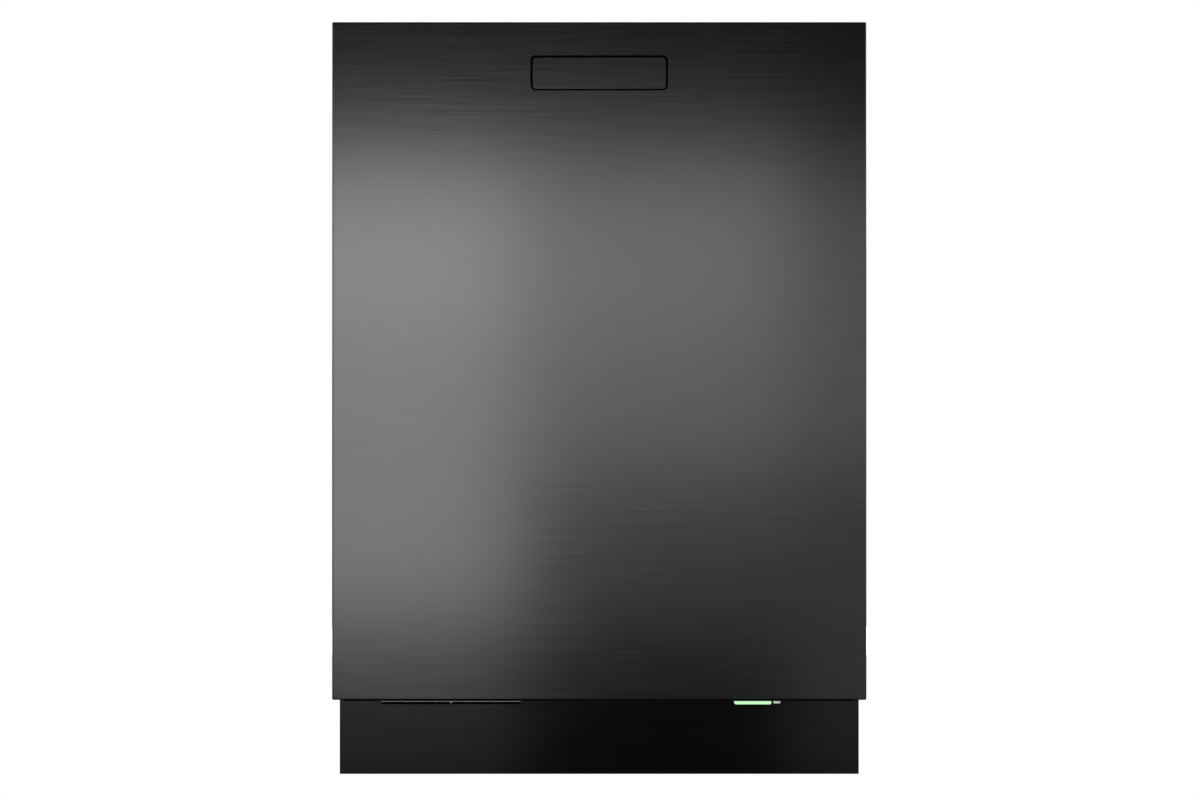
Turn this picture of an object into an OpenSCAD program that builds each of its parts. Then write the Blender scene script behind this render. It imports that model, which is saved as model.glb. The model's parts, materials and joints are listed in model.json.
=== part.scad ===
/* [Overall] */
// Width across the door skin
width = 596; // [560:1:720]
// Height from the floor to the top of the door
height = 846; // [780:1:1010]
// Depth from the door face to the rear of the frame
depth = 570; // [540:1:690]
// Height of the door's lower edge above the floor
door_bottom = 90; // [76:1:104]

/* [Door] */
// Depth of the folded outer skin
skin_depth = 20; // [16:1:24]
// Thickness of the outer skin
skin_sheet = 1.2; // [0.8:0.1:1.5]
// Door face to the flat border of the inner liner
door_thick = 44; // [42:1:48]
// Height of the raised centre of the inner liner
liner_boss = 12; // [10:0.5:14.5]
// Thickness of the inner liner
liner_sheet = 1.2; // [0.8:0.1:1.5]
// Hinge axis behind the door face
pivot_depth = 35; // [30:1:38]
// Hinge axis above the door's lower edge
pivot_rise = 16; // [14:1:18]
// Radius of the hinge pins
pin_r = 4; // [3.2:0.1:4.8]
// Running clearance of every pin and shaft
running = 0.05; // [0.02:0.01:0.09]

/* [Handle] */
// Width of the handle opening
handle_w = 152.5; // [120:0.5:184]
// Height of the handle opening
handle_h = 38.5; // [32:0.5:47]
// Top of the door to the top of the handle opening
handle_drop = 37.4; // [36:0.1:46]
// Corner radius of the handle opening
handle_corner = 5.5; // [3:0.5:7]
// Gap above the handle flap
flap_gap_top = 2.2; // [1.5:0.1:2.7]
// Gap beside the handle flap
flap_gap_side = 2; // [1.5:0.1:2.5]
// Gap under the handle flap
flap_gap_bottom = 1.3; // [1:0.1:1.6]

/* [Control strip] */
// Radius of each button
button_r = 4.2; // [3.4:0.1:5.1]
// Distance between button centres
button_pitch = 26; // [20:1:32]

/* [Under the door] */
// Width of the vent slot
vent_w = 155.6; // [130:0.1:187]
// Centre of the vent slot, right of the middle
vent_x = -165.6; // [-180:0.1:-138]
// Width of the status light
light_w = 41; // [34:1:50]
// Centre of the status light, right of the middle
light_x = 171.7; // [143:0.1:190]
// How far the vent and the lights hang below the trim
hang = 4.1; // [3.4:0.1:5]

/* [Tub] */
// Tub's inner wall to the edge of the door, on each side
tub_inset = 31; // [30:1:38]
// Thickness of the tub sheet
tub_sheet = 1.5; // [1:0.1:1.8]
// Seal's thickness between the door liner and the tub
seal_gap = 5; // [4:0.5:6]
// Top of the door to the tub's ceiling
ceiling_drop = 34; // [30:1:41]
// Rear of the frame to the tub's back wall
tub_rear = 30; // [26:1:36]
// Thickness of the insulating mats
mat = 10; // [6:1:11]

/* [Base] */
// Recess of the toe kick behind the door face
kick_recess = 63; // [60:1:76]
// Edge of the door to the edge of the toe kick
kick_inset = 4; // [3.5:0.5:8]
// Floor to the underside of the base tray
base_lift = 24; // [20:1:29]
// Radius of the foot pads
foot_pad_r = 22; // [18:1:26.5]
// Radius of the foot studs
foot_stud_r = 6; // [5:0.5:7.2]

/* [Racks] */
// Thickness of the rack wires
wire = 4; // [3:0.5:4.8]
// Height of the lower rack's basket
lower_rack_h = 180; // [150:1:216]
// Height of the upper rack's basket
upper_rack_h = 150; // [125:1:180]
// Height of the cutlery tray
tray_h = 36; // [30:1:43]
// Radius of the lower rack's wheels
wheel_r = 16; // [13:0.5:17]
// Clearance between the lower spray arm's tip and the feed duct
tip_gap = 4; // [3:1:30]
// Height of the fold-down tines
tine_h = 58; // [48:1:66]

/* [Hidden] */
$fn = 48;
joint_gap = 0.05; // gap that keeps separate grilles and tines apart
front = -depth / 2;
back = depth / 2;
side = width / 2;
pivot_y = front + pivot_depth;
pivot_z = door_bottom + pivot_rise;

// Door
skin_back = front + skin_depth;
liner_y = front + door_thick;
boss_y = liner_y + liner_boss;
plate_t = 3; // hinge arms and hinge plates
plate_gap = 1.6;
liner_half = side - skin_sheet - plate_t * 2 - plate_gap - 1.2;
arm_x = liner_half;
hinge_x = arm_x + plate_t + plate_gap;
strip_h = 17;
strip_drop = 4;
strip_top = height - strip_drop;
strip_bottom = strip_top - strip_h;
strip_wall = 2.5;
strip_front = skin_back + 0.2;
strip_back = liner_y - 1;
liner_bottom = door_bottom + 4;
liner_top = strip_bottom;
boss_half = liner_half - 26;
boss_bottom = liner_bottom + 32;
boss_top = liner_top - 24;

// Dispenser
disp_w = 150;
disp_h = 116;
disp_x = -40;
disp_z = (boss_bottom + boss_top) / 2 + 30;
disp_front = boss_y - 27;
cup_w = 74;
cup_h = 56;
cap_r = 17;
cap_stem = 8;
cap_x = disp_x + disp_w / 2 - 27;
cap_z = disp_z + disp_h / 2 - 30;

// Handle
handle_top = height - handle_drop;
handle_bottom = handle_top - handle_h;
flap_t = 2;
flap_half = handle_w / 2 - flap_gap_side;
flap_bottom = handle_bottom + flap_gap_bottom;
flap_top = handle_top - flap_gap_top;
flap_axis_y = front + 6;
flap_axis_z = flap_bottom + 2.5;
flap_pin_r = 1.5;
barrel_r = 3;
barrel_w = 16;
barrel_x = flap_half - 20;
spring_len = 28;
pocket_wall = 2;
pocket_half = handle_w / 2 + 8;
pocket_back = liner_y - 8;
pocket_top = min(handle_top + 13, liner_top - liner_sheet - 0.4);

// Control strip
button_y = (strip_front + strip_back) / 2;
button_xs = [-side + 68, side - 68 - button_pitch * 2, side - 68 - button_pitch, side - 68];
button_flange = 1.2;
display_w = 62;
display_x = button_xs[1] - 58;
display_t = 1.2;
display_d = 12;
strip_half = liner_half - 5;
strike_z = strip_bottom + 5;
strike_front = liner_y - 13;
catch_y = strip_front + 6.5;
catch_z = strike_z + 6;
screw_x = liner_half - 4;
screw_rows = 6;
screw_pitch = (liner_top - liner_bottom - 120) / 5;

// Under the door
trim_t = 1.4;
trim_top = door_bottom - joint_gap;
trim_half = side - 14;
trim_front = front + 2;
trim_back = liner_y - 2;
trim_step = pivot_y - 12; // behind this line the trim passes between the uprights
hang_z = trim_top - trim_t - hang;
unit_front = front + 8;
unit_back = front + 22;
vent_lip = 1.2;
rib_w = 1.7;
rib_pitch = vent_w / 4.7;
dot_r = 3.9;
dot_x = light_x + light_w / 2 + 6.6;

// Tub
tub_half = side - tub_inset;
tub_out = tub_half + tub_sheet;
trim_inner = tub_out - 3;
tub_front = liner_y + seal_gap;
tub_back = back - tub_rear;
floor_z = pivot_z + boss_y - pivot_y - 3;
ceiling_z = height - ceiling_drop;
track_z = floor_z + 4.5;
flange_half = tub_half + 15;
flange_low = floor_z - 8;
flange_top = ceiling_z + 14;
centre_y = (boss_y + tub_back) / 2;
sump_r = 116;
sump_hole = 110;
sump_wall = 3;
sump_low = 50;
ledge_r = 104;
filter_z = floor_z - 6;
post_r = 15;
shaft_r = 9;
arm_z = floor_z + 12;
arm_t = 11;
cup_x = 62;
cup_y = centre_y - 30;
cup_r = 30;
float_x = -tub_half + 66;
float_y = tub_front + 46;
float_r = 13;
ports_x = [-200, 0, 150];
port_z = 70;
pump_z = 80;
drain_y = centre_y - 50;
drain_z = 68;
inlet_r = 13.2;
outlet_r = 10.5;
cable_r = 11;
dock_r = 9;
duct_t = 12;
duct_half = 20;
duct_face = tub_back - duct_t;
arm_reach = duct_face - centre_y - tip_gap;

// Base and frame
frame_in = tub_out + mat + 1;
frame_out = hinge_x;
frame_t = 2;
upright_front = tub_front + tub_sheet + 0.1;
upright_back = upright_front + 29;
upright_low = pivot_z - 8;
rail_low = floor_z - tub_sheet - 16;
base_half = frame_in;
base_front = front + kick_recess + 17;
base_top = floor_z - tub_sheet;
base_wall = 3;
base_floor = base_lift + base_wall;
kick_front = front + kick_recess;
kick_half = side - kick_inset;
kick_top = door_bottom + 2;
kick_return = 15;
foot_x = base_half - 32;
foot_ys = [base_front + 26, back - 34];
foot_pad_h = 8;
foot_stud_top = 70;
spring_z = pivot_z + 45;
spring_window = 16; // half the height of the uprights' opening for the door spring
spring_x = frame_in + 6.9;
hook_y = pivot_y + 14;
anchor_y = upright_back + 150;
ribs_y = [centre_y - sump_r - 26, centre_y + sump_r + 70];
side_holes_z = [pivot_z + 130, pivot_z + 610];
side_hole_r = 2.6;
rear_frame = tub_back + tub_sheet + mat + 1;
bracket_x = 200;
bracket_z = flange_top + 2;
bracket_hole = 2.5;
kick_tab_x = 200;

// Racks
rack_half = tub_half - 21;
rack_front = boss_y + 24;
rack_back = tub_back - 19;
lower_z = floor_z + 32;
lower_slope = 40;
upper_z = ceiling_z - 366;
tray_z = ceiling_z - 68;
tine_r = 1.6;
rail_z = upper_z + 76;
tray_rail_z = tray_z + tray_h / 2;
wheel_w = 8;
wheel_x = rack_half + 4;
axle_r = 2.5;
wheel_z = track_z + wheel_r + 0.3;
wheel_ys = [pivot_y + 175, rack_back - 44];
mid_z = upper_z - 20;
dock_z = upper_z - 5;
mid_reach = tub_half - 55;
top_reach = tub_half - 90;
row_pitch = 66;
upper_row_pitch = row_pitch * 1.2;
upper_tine_h = tine_h * 0.7;
row_front = rack_front + 54;
row_back = rack_back - 10;
tine_pitch = 26;
fold_z = lower_z + wire + 5;
fold_h = tine_h - 5;
clip_ys = [row_front + 16, row_front + 172, row_front + 328];
dock_end = rack_back + 2;
slide_x = rack_half + 6;
top_arm_z = ceiling_z - duct_t - 10;
tray_walls_x = [-82, 80];
arm_tip = 14;
arm_root = 20;
cup_low = sump_low + 14;

// Corner points of a rectangle with round corners, centred on the origin
function rounded(w, h, r, n = 6) = [
    for (c = [[1, 1, 0], [-1, 1, 90], [-1, -1, 180], [1, -1, 270]], i = [0 : n])
        [c[0] * (w / 2 - r) + r * cos(c[2] + 90 * i / n), c[1] * (h / 2 - r) + r * sin(c[2] + 90 * i / n)]
];

// A box between two corners
module span(low, high) {
    translate(low) cube(high - low);
}

// A plate in the XZ plane, from y0 towards +Y
module wall_xz(y0, t) {
    translate([0, y0 + t, 0]) rotate([90, 0, 0]) linear_extrude(t) children();
}

// A plate in the YZ plane, from x0 towards +X
module wall_yz(x0, t) {
    translate([x0, 0, 0]) rotate([90, 0, 90]) linear_extrude(t) children();
}

module bar_x(x0, x1, y, z, r) {
    translate([x0, y, z]) rotate([0, 90, 0]) cylinder(r = r, h = x1 - x0);
}

module bar_y(x, y0, y1, z, r) {
    translate([x, y1, z]) rotate([90, 0, 0]) cylinder(r = r, h = y1 - y0);
}

module both_sides() {
    children();
    mirror([1, 0, 0]) children();
}

// A flat grille: a w by h sheet with nx by ny square openings between bars
module grille(w, h, nx, ny) {
    cell_w = (w - wire * (nx + 1)) / nx;
    cell_h = (h - wire * (ny + 1)) / ny;
    difference() {
        square([w, h]);
        for (i = [0 : nx - 1], j = [0 : ny - 1])
            translate([wire + i * (cell_w + wire), wire + j * (cell_h + wire)]) square([cell_w, cell_h]);
    }
}

// A closed box wall: the shell of a box that is open on the faces where the inner box reaches past it
module shell(low, high, inner_low, inner_high) {
    difference() {
        span(low, high);
        span(inner_low, inner_high);
    }
}

// Cabinet

module tub() {
    color("silver") {
        difference() {
            union() {
                span([-tub_out, tub_front, floor_z - tub_sheet],
                    [tub_out, tub_back + tub_sheet, ceiling_z + tub_sheet]);
                span([-flange_half, tub_front, flange_low], [flange_half, tub_front + tub_sheet, flange_top]);
            }
            span([-tub_half, tub_front - 1, floor_z], [tub_half, tub_back, ceiling_z]);
            translate([0, centre_y, floor_z - tub_sheet - 1]) cylinder(r = sump_hole, h = tub_sheet + 2);
        }
        both_sides() span([rack_half, boss_y + 1, floor_z - 0.5], [tub_half + 0.5, tub_back + 0.5, track_z]);
    }
}

module tub_seal() {
    seal_y = tub_front - seal_gap + 0.1;
    inner = tub_half + 2;
    outer = inner + 9;
    color("dimgray") wall_xz(seal_y, seal_gap - 0.1) difference() {
        translate([-outer, floor_z - 6]) square([outer * 2, ceiling_z + 11 - floor_z + 6]);
        translate([-inner, floor_z - 7]) square([inner * 2, ceiling_z + 2 - floor_z + 7]);
    }
}

module fine_filter() {
    color("lightgray") difference() {
        translate([0, centre_y, filter_z]) cylinder(r = sump_hole - 1.5, h = 1.5);
        translate([0, centre_y, filter_z - 1]) cylinder(r = post_r + 0.5, h = 4);
        translate([cup_x, cup_y, filter_z - 1]) cylinder(r = cup_r + 0.5, h = 4);
    }
}

module sump() {
    color("gray") {
        difference() {
            union() {
                translate([0, centre_y, sump_low]) cylinder(r = sump_r, h = base_top - sump_low);
                bar_x(-sump_r - 4, 0, centre_y, pump_z, 16);
                bar_x(0, sump_r + 4, drain_y, drain_z, 14);
            }
            translate([0, centre_y, sump_low + sump_wall]) cylinder(r = ledge_r, h = base_top);
            translate([0, centre_y, filter_z]) cylinder(r = sump_hole, h = base_top);
            bar_x(-sump_r - 5, 0, centre_y, pump_z, 13);
            bar_x(0, sump_r + 5, drain_y, drain_z, 11);
        }
        translate([0, centre_y, sump_low + 1]) cylinder(r = post_r, h = arm_z - 6 - sump_low - 1);
        translate([0, centre_y, sump_low + 1]) cylinder(r = shaft_r, h = arm_z + arm_t + 2 - sump_low);
    }
}

module feed_pipe() {
    color("lightgray") {
        difference() {
            union() {
                span([-duct_half, duct_face, floor_z], [duct_half, tub_back, ceiling_z]);
                span([-duct_half, centre_y - duct_half, ceiling_z - duct_t],
                    [duct_half, tub_back, ceiling_z]);
            }
            span([-duct_half + 2, duct_face + 2, floor_z + 2], [duct_half - 2, tub_back - 2, ceiling_z - 2]);
            span([-duct_half + 2, centre_y - duct_half + 2, ceiling_z - duct_t + 2],
                [duct_half - 2, tub_back - 2, ceiling_z - 2]);
            bar_y(0, duct_face - 1, duct_face + 3, dock_z, dock_r - 2);
        }
        difference() {
            bar_y(0, duct_face - 1.5, duct_face + 1, dock_z, dock_r);
            bar_y(0, duct_face - 2, duct_face + 2, dock_z, dock_r - 2);
        }
        translate([0, centre_y, top_arm_z - 4]) cylinder(r = 6, h = ceiling_z - duct_t + 1 - top_arm_z + 4);
        translate([0, centre_y, top_arm_z - 6]) cylinder(r = 9, h = 2);
    }
}

module circulation_pump() {
    color("dimgray") {
        bar_x(-sump_r - 34, -sump_r - 4, centre_y, pump_z, 34);
        bar_x(-sump_r - 120, -sump_r - 34, centre_y, pump_z, 28);
        bar_x(-sump_r - 128, -sump_r - 120, centre_y, pump_z, 12);
    }
}

module drain_pump() {
    color("dimgray") {
        bar_x(sump_r + 4, sump_r + 54, drain_y, drain_z, 24);
        bar_x(sump_r + 54, sump_r + 84, drain_y, drain_z, 18);
        bar_y(ports_x[2], drain_y, drain_y + 32, drain_z, 9);
    }
}

module inlet_valve() {
    color("white") {
        span([ports_x[0] - 20, back - 52, port_z - 20], [ports_x[0] + 20, back - 22, port_z + 24]);
        bar_y(ports_x[0], back - 23, back - 18, port_z, 18);
        bar_y(ports_x[0], back - 19, back - 2, port_z, inlet_r);
    }
}

module drain_hose() {
    start = drain_y + 32;
    finish = back - 40;
    rings = floor((finish - start - 24) / 8);
    color("gray") {
        bar_y(ports_x[2], start, finish, drain_z, 10);
        for (i = [0 : rings - 1])
            bar_y(ports_x[2], start + 12 + i * 8, start + 16 + i * 8, drain_z, 12.5);
        bar_y(ports_x[2], finish - 0.5, back - 22, drain_z, 15);
        bar_y(ports_x[2], back - 22.5, back - 2, drain_z, outlet_r);
    }
}

module junction_box() {
    low = [ports_x[1] - 35, back - 44, port_z - 26];
    high = [ports_x[1] + 35, back - 3.2, port_z + 26];
    color("darkgray") difference() {
        shell(low, high, low + [2, 2, 2], high - [2, 2, 2]);
        bar_y(ports_x[1], back - 6, back, port_z, cable_r);
    }
}

module base_tray() {
    color("dimgray") difference() {
        union() {
            shell([-base_half, base_front, base_lift], [base_half, back, base_top],
                [-base_half + base_wall, base_front + base_wall, base_floor],
                [base_half - base_wall, back - base_wall, base_top + 1]);
            for (y = ribs_y)
                span([-base_half + 1, y, base_floor - 1], [base_half - 1, y + base_wall, base_top]);
            for (x = [-foot_x, foot_x], y = foot_ys)
                translate([x, y, base_lift]) cylinder(r = foot_stud_r * 2, h = 36);
        }
        for (x = [-foot_x, foot_x], y = foot_ys)
            translate([x, y, base_lift - 1]) cylinder(r = foot_stud_r + running, h = 38);
        for (x = ports_x)
            bar_y(x, back - base_wall - 1, back + 1, x == ports_x[2] ? drain_z : port_z, 24);
        bar_y(ports_x[2], ribs_y[1] - 1, ribs_y[1] + base_wall + 1, drain_z, 16);
    }
}

module insulation_mats() {
    low = base_top + 4;
    mat_front = upright_back + 5;
    color("darkslategray") {
        both_sides() span([tub_out, mat_front, low], [tub_out + mat, tub_back + tub_sheet, ceiling_z]);
        span([-tub_out, mat_front, ceiling_z + tub_sheet],
            [tub_out, tub_back + tub_sheet, ceiling_z + tub_sheet + mat]);
        span([-tub_out, tub_back + tub_sheet, low], [tub_out, tub_back + tub_sheet + mat, ceiling_z]);
    }
}

module chassis_frame() {
    color("lightslategray") {
        both_sides() {
            difference() {
                span([tub_out + 1.5, upright_front, upright_low], [frame_out, upright_back, flange_top + 2]);
                span([tub_out + 1.5 + frame_t, upright_front + frame_t, upright_low - 1],
                    [frame_out - frame_t, upright_back + 1, flange_top + 3]);
                span([frame_in, upright_front - 1, spring_z - spring_window],
                    [frame_out + 1, upright_back + 1, spring_z + spring_window]);
                for (z = side_holes_z)
                    bar_x(tub_out, frame_out + 1, (upright_front + upright_back) / 2, z, side_hole_r);
            }
            span([frame_in, upright_back - 2, rail_low], [frame_out - frame_t, back - 2, base_top]);
            span([tub_out + 1.5, rear_frame, base_top], [frame_out, rear_frame + frame_t, flange_top + 2]);
            span([frame_out - frame_t, rear_frame, rail_low], [frame_out, back - 2, flange_top + 2]);
            span([frame_in, anchor_y - 3, base_top - 1], [frame_out - frame_t, anchor_y + 3, spring_z - 3]);
            bar_y(spring_x, anchor_y - 3, anchor_y + 3, spring_z - 3, 3);
        }
        span([-frame_out, back - 4, flange_top - 30], [frame_out, back - 2, flange_top]);
    }
}

module counter_brackets() {
    leg_back = tub_front + tub_sheet * 2;
    color("silver") for (x = [-bracket_x, bracket_x]) difference() {
        union() {
            span([x - 14, tub_front + tub_sheet, flange_top - 11], [x + 14, leg_back, bracket_z + tub_sheet]);
            span([x - 14, tub_front, bracket_z], [x + 14, tub_front + 30, bracket_z + tub_sheet]);
        }
        translate([x, tub_front + 17, bracket_z - 1]) cylinder(r = bracket_hole, h = 4);
    }
}

module hinge_plates() {
    color("gainsboro") both_sides() {
        wall_yz(hinge_x, plate_t) difference() {
            translate([pivot_y + 16, pivot_z + 7]) polygon(rounded(56, 38, 6));
            for (z = [pivot_z - 2, pivot_z + 16]) translate([upright_front + 18, z]) circle(r = 2);
        }
        bar_x(arm_x + 0.2, hinge_x + 1, pivot_y, pivot_z, pin_r);
    }
}

module toe_kick() {
    color([0.13, 0.13, 0.14]) difference() {
        span([-kick_half, kick_front, 1], [kick_half, kick_front + kick_return, kick_top]);
        span([-kick_half + skin_sheet, kick_front + skin_sheet, 0],
            [kick_half - skin_sheet, base_front, kick_top + 1]);
    }
    color("silver") for (x = [-kick_tab_x, kick_tab_x])
        span([x - 12, kick_front + skin_sheet - 0.1, base_lift + 10], [x + 12, base_front, base_lift + 30]);
}

module latch_strike() {
    color("silver") {
        span([-14, tub_front + tub_sheet, flange_top - 11], [14, tub_front + tub_sheet * 2, strike_z + 3]);
        span([-8, strike_front, strike_z], [8, tub_front + tub_sheet * 2, strike_z + 3]);
    }
}

module rack_rails() {
    color("gainsboro") both_sides() for (z = [rail_z, tray_rail_z]) difference() {
        span([tub_half - 9, boss_y + 8, z - 11], [tub_half, rack_back, z + 11]);
        span([tub_half - 10, boss_y + 7, z - 8.5], [tub_half - 2, rack_back - 2, z + 8.5]);
    }
}

module door_spring() {
    coil_front = upright_back + 9;
    coil_back = anchor_y - 8;
    turns = floor((coil_back - coil_front) / 5);
    bar_y(spring_x, hook_y, coil_front + 1, spring_z, 1);
    bar_x(spring_x - 1, arm_x + plate_t + 0.6, hook_y, spring_z, 1);
    bar_y(spring_x, coil_front, coil_back, spring_z, 5);
    for (i = [0 : turns - 1]) bar_y(spring_x, coil_front + i * 5, coil_front + i * 5 + 3, spring_z, 6);
    bar_y(spring_x, coil_back - 1, anchor_y - 3.05, spring_z, 1);
}

module door_spring_left() {
    color("silver") mirror([1, 0, 0]) door_spring();
}

module door_spring_right() {
    color("silver") door_spring();
}

// Door

module door_skin() {
    color([0.16, 0.16, 0.17]) difference() {
        shell([-side, front, door_bottom], [side, skin_back, height],
            [-side + skin_sheet, front + skin_sheet, door_bottom + skin_sheet],
            [side - skin_sheet, skin_back + 1, height - skin_sheet]);
        wall_xz(front - 1, skin_sheet + 2) translate([0, (handle_top + handle_bottom) / 2])
            polygon(rounded(handle_w, handle_h, handle_corner));
        vent_path(door_bottom - 1, door_bottom + skin_sheet + 1);
    }
}

// The air path of the vent through the door's lower edge
module vent_path(z0, z1) {
    span([vent_x - vent_w / 2 + 6, unit_front + 3, z0], [vent_x + vent_w / 2 - 6, unit_back - 3, z1]);
}

module door_liner() {
    color("silver") difference() {
        union() {
            span([-liner_half, skin_back + 1, liner_bottom], [liner_half, liner_y, liner_top]);
            span([-boss_half, liner_y - 1, boss_bottom], [boss_half, boss_y, boss_top]);
        }
        span([-liner_half + liner_sheet, skin_back, liner_bottom + liner_sheet],
            [liner_half - liner_sheet, liner_y - liner_sheet, liner_top - liner_sheet]);
        span([-boss_half + liner_sheet, skin_back, boss_bottom + liner_sheet],
            [boss_half - liner_sheet, boss_y - liner_sheet, boss_top - liner_sheet]);
        span([disp_x - disp_w / 2 - 0.1, skin_back, disp_z - disp_h / 2 - 0.1],
            [disp_x + disp_w / 2 + 0.1, boss_y + 1, disp_z + disp_h / 2 + 0.1]);
    }
}

module door_pad() {
    color("darkslategray") difference() {
        span([-boss_half + 4, skin_back + 2, boss_bottom + 6],
            [boss_half - 4, liner_y - 4, handle_bottom - 14]);
        span([disp_x - disp_w / 2 - 3, skin_back, disp_z - disp_h / 2 - 3],
            [disp_x + disp_w / 2 + 3, liner_y, disp_z + disp_h / 2 + 3]);
    }
}

module door_trim() {
    color([0.1, 0.1, 0.1]) difference() {
        union() {
            span([-trim_half, trim_front, trim_top - trim_t], [trim_half, trim_step, trim_top]);
            span([-trim_inner, trim_step - 1, trim_top - trim_t], [trim_inner, trim_back, trim_top]);
        }
        vent_path(trim_top - trim_t - 1, trim_top + 1);
    }
}

module control_strip() {
    color([0.1, 0.1, 0.1]) {
        difference() {
            shell([-strip_half, strip_front, strip_bottom], [strip_half, strip_back, strip_top],
                [-strip_half + strip_wall, strip_front + strip_wall, strip_bottom - 1],
                [strip_half - strip_wall, strip_back - strip_wall, strip_top - strip_wall]);
            for (x = button_xs) translate([x, button_y, strip_top - 4]) cylinder(r = button_r + 0.3, h = 5);
            span([display_x - display_w / 2, button_y - display_d / 2, strip_top - display_t],
                [display_x + display_w / 2, button_y + display_d / 2, strip_top + 1]);
            span([-10, strip_back - strip_wall - 1, strike_z - 1.5], [10, strip_back + 1, strike_z + 4.5]);
        }
        both_sides() span([7.2, catch_y - 4, strip_bottom + 6], [9, catch_y + 4, strip_top - strip_wall + 1]);
        bar_x(-8, 8, catch_y, catch_z, 1);
    }
}

module display_window() {
    color("black") translate([display_x, button_y, strip_top - display_t / 2])
        cube([display_w - 0.2, display_d - 0.2, display_t], center = true);
}

module handle_pocket() {
    low = [-pocket_half, front + skin_sheet, handle_bottom - 9];
    high = [pocket_half, pocket_back, pocket_top];
    wall = [pocket_wall, pocket_wall, pocket_wall];
    color([0.08, 0.08, 0.08]) difference() {
        span(low, high);
        span([low[0] + pocket_wall, front, low[2] + pocket_wall], high - wall);
        bar_x(-pocket_half - 1, pocket_half + 1, flap_axis_y, flap_axis_z, flap_pin_r + running);
    }
}

module flap_pin() {
    color("silver") bar_x(-pocket_half, pocket_half, flap_axis_y, flap_axis_z, flap_pin_r);
}

module flap_spring() {
    color("silver") difference() {
        bar_x(-spring_len / 2, spring_len / 2, flap_axis_y, flap_axis_z, flap_pin_r + 1.2);
        bar_x(-spring_len, spring_len, flap_axis_y, flap_axis_z, flap_pin_r + 0.2);
    }
}

module dispenser_body() {
    x0 = disp_x - disp_w / 2;
    x1 = disp_x + disp_w / 2;
    z0 = disp_z - disp_h / 2;
    z1 = disp_z + disp_h / 2;
    color("gray") {
        difference() {
            union() {
                span([x0, disp_front, z0], [x1, boss_y + 1, z1]);
                span([x0 - 6, boss_y, z0 - 6], [x1 + 6, boss_y + 2, z1 + 6]);
            }
            span([x0 + 8, disp_front + 2, z0 + 8], [x0 + 8 + cup_w, boss_y + 3, z0 + 8 + cup_h]);
            span([x1 - 46, disp_front + 2, z0 + 14], [x1 - 8, boss_y - 2, z1 - 8]);
            bar_y(cap_x, boss_y - 4, boss_y + 3, cap_z, cap_stem + running);
        }
        for (x = [x0 + 1, x0 + 12 + cup_w]) difference() {
            span([x, boss_y + 1, z0 + 2], [x + 3, boss_y + 7, z1]);
            translate([x == x0 + 1 ? 1.4 : -1, 0, 0])
                span([x, boss_y + 2, z0], [x + 2.6, boss_y + 5.2, z1 + 1]);
        }
    }
}

module dispenser_lid() {
    x0 = disp_x - disp_w / 2 + 2.7;
    x1 = disp_x - disp_w / 2 + 13.3 + cup_w;
    z0 = disp_z - disp_h / 2 + 4;
    color("lightgray") {
        span([x0, boss_y + 2.2, z0], [x1, boss_y + 4.8, z0 + cup_h + 8]);
        span([x0 + 18, boss_y + 4.7, z0 + 10], [x1 - 18, boss_y + 8, z0 + 16]);
    }
}

module rinse_cap() {
    color("dimgray") {
        bar_y(cap_x, boss_y + 2.2, boss_y + 6, cap_z, cap_r);
        bar_y(cap_x, boss_y - 3, boss_y + 3, cap_z, cap_stem);
        span([cap_x - 2, boss_y + 5, cap_z - cap_r + 3], [cap_x + 2, boss_y + 9, cap_z + cap_r - 3]);
    }
}

module door_vent() {
    x0 = vent_x - vent_w / 2;
    x1 = vent_x + vent_w / 2;
    top = trim_top - trim_t;
    color([0.12, 0.12, 0.12]) {
        difference() {
            span([x0, unit_front, hang_z], [x1, unit_back, top]);
            span([x0 + vent_lip, unit_front - 1, hang_z + vent_lip],
                [x1 - vent_lip, unit_back - vent_lip, top - vent_lip]);
            vent_path(top - vent_lip - 1, top + 1);
        }
        for (x = concat([0], [for (i = [-1.5 : 1 : 1.5]) i * rib_pitch]))
            translate([vent_x + x - rib_w / 2, unit_front, hang_z + 0.1])
                cube([rib_w, unit_back - 1 - unit_front, top - 0.2 - hang_z]);
    }
}

module status_light() {
    color("palegreen") wall_xz(unit_front, 14) translate([light_x, (hang_z + trim_top - trim_t) / 2])
        polygon(rounded(light_w, hang, min(hang / 2 - 0.1, 1.6)));
}

module indicator_dot() {
    color("gainsboro") translate([dot_x, unit_front + 7, hang_z + 0.8]) cylinder(r = dot_r, h = hang - 0.8);
}

module hinge_arm() {
    wall_yz(arm_x, plate_t) difference() {
        union() {
            translate([pivot_y, pivot_z]) circle(r = 11);
            translate([skin_back + 2, pivot_z]) square([16, 150]);
            translate([pivot_y - 1, pivot_z]) polygon([[0, 0], [0, 60], [hook_y + 4 - pivot_y, 50], [11, 0]]);
            translate([hook_y, spring_z]) circle(r = 5.5);
        }
        translate([pivot_y, pivot_z]) circle(r = pin_r + running);
        translate([hook_y, spring_z]) circle(r = 2.5);
        for (z = [90, 135]) translate([skin_back + 10, pivot_z + z]) circle(r = 2);
    }
}

module hinge_arm_left() {
    color("gainsboro") mirror([1, 0, 0]) hinge_arm();
}

module hinge_arm_right() {
    color("gainsboro") hinge_arm();
}

module door_screws() {
    color("silver") {
        for (i = [0 : screw_rows - 1], x = [-screw_x, screw_x])
            bar_y(x, liner_y, liner_y + 1.6, liner_bottom + 60 + i * screw_pitch, 3.2);
        for (z = [90, 135], s = [-1, 1]) {
            x = s * (arm_x + plate_t);
            bar_x(min(x, x + s * 1), max(x, x + s * 1), skin_back + 10, pivot_z + z, 3);
        }
    }
}

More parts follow.
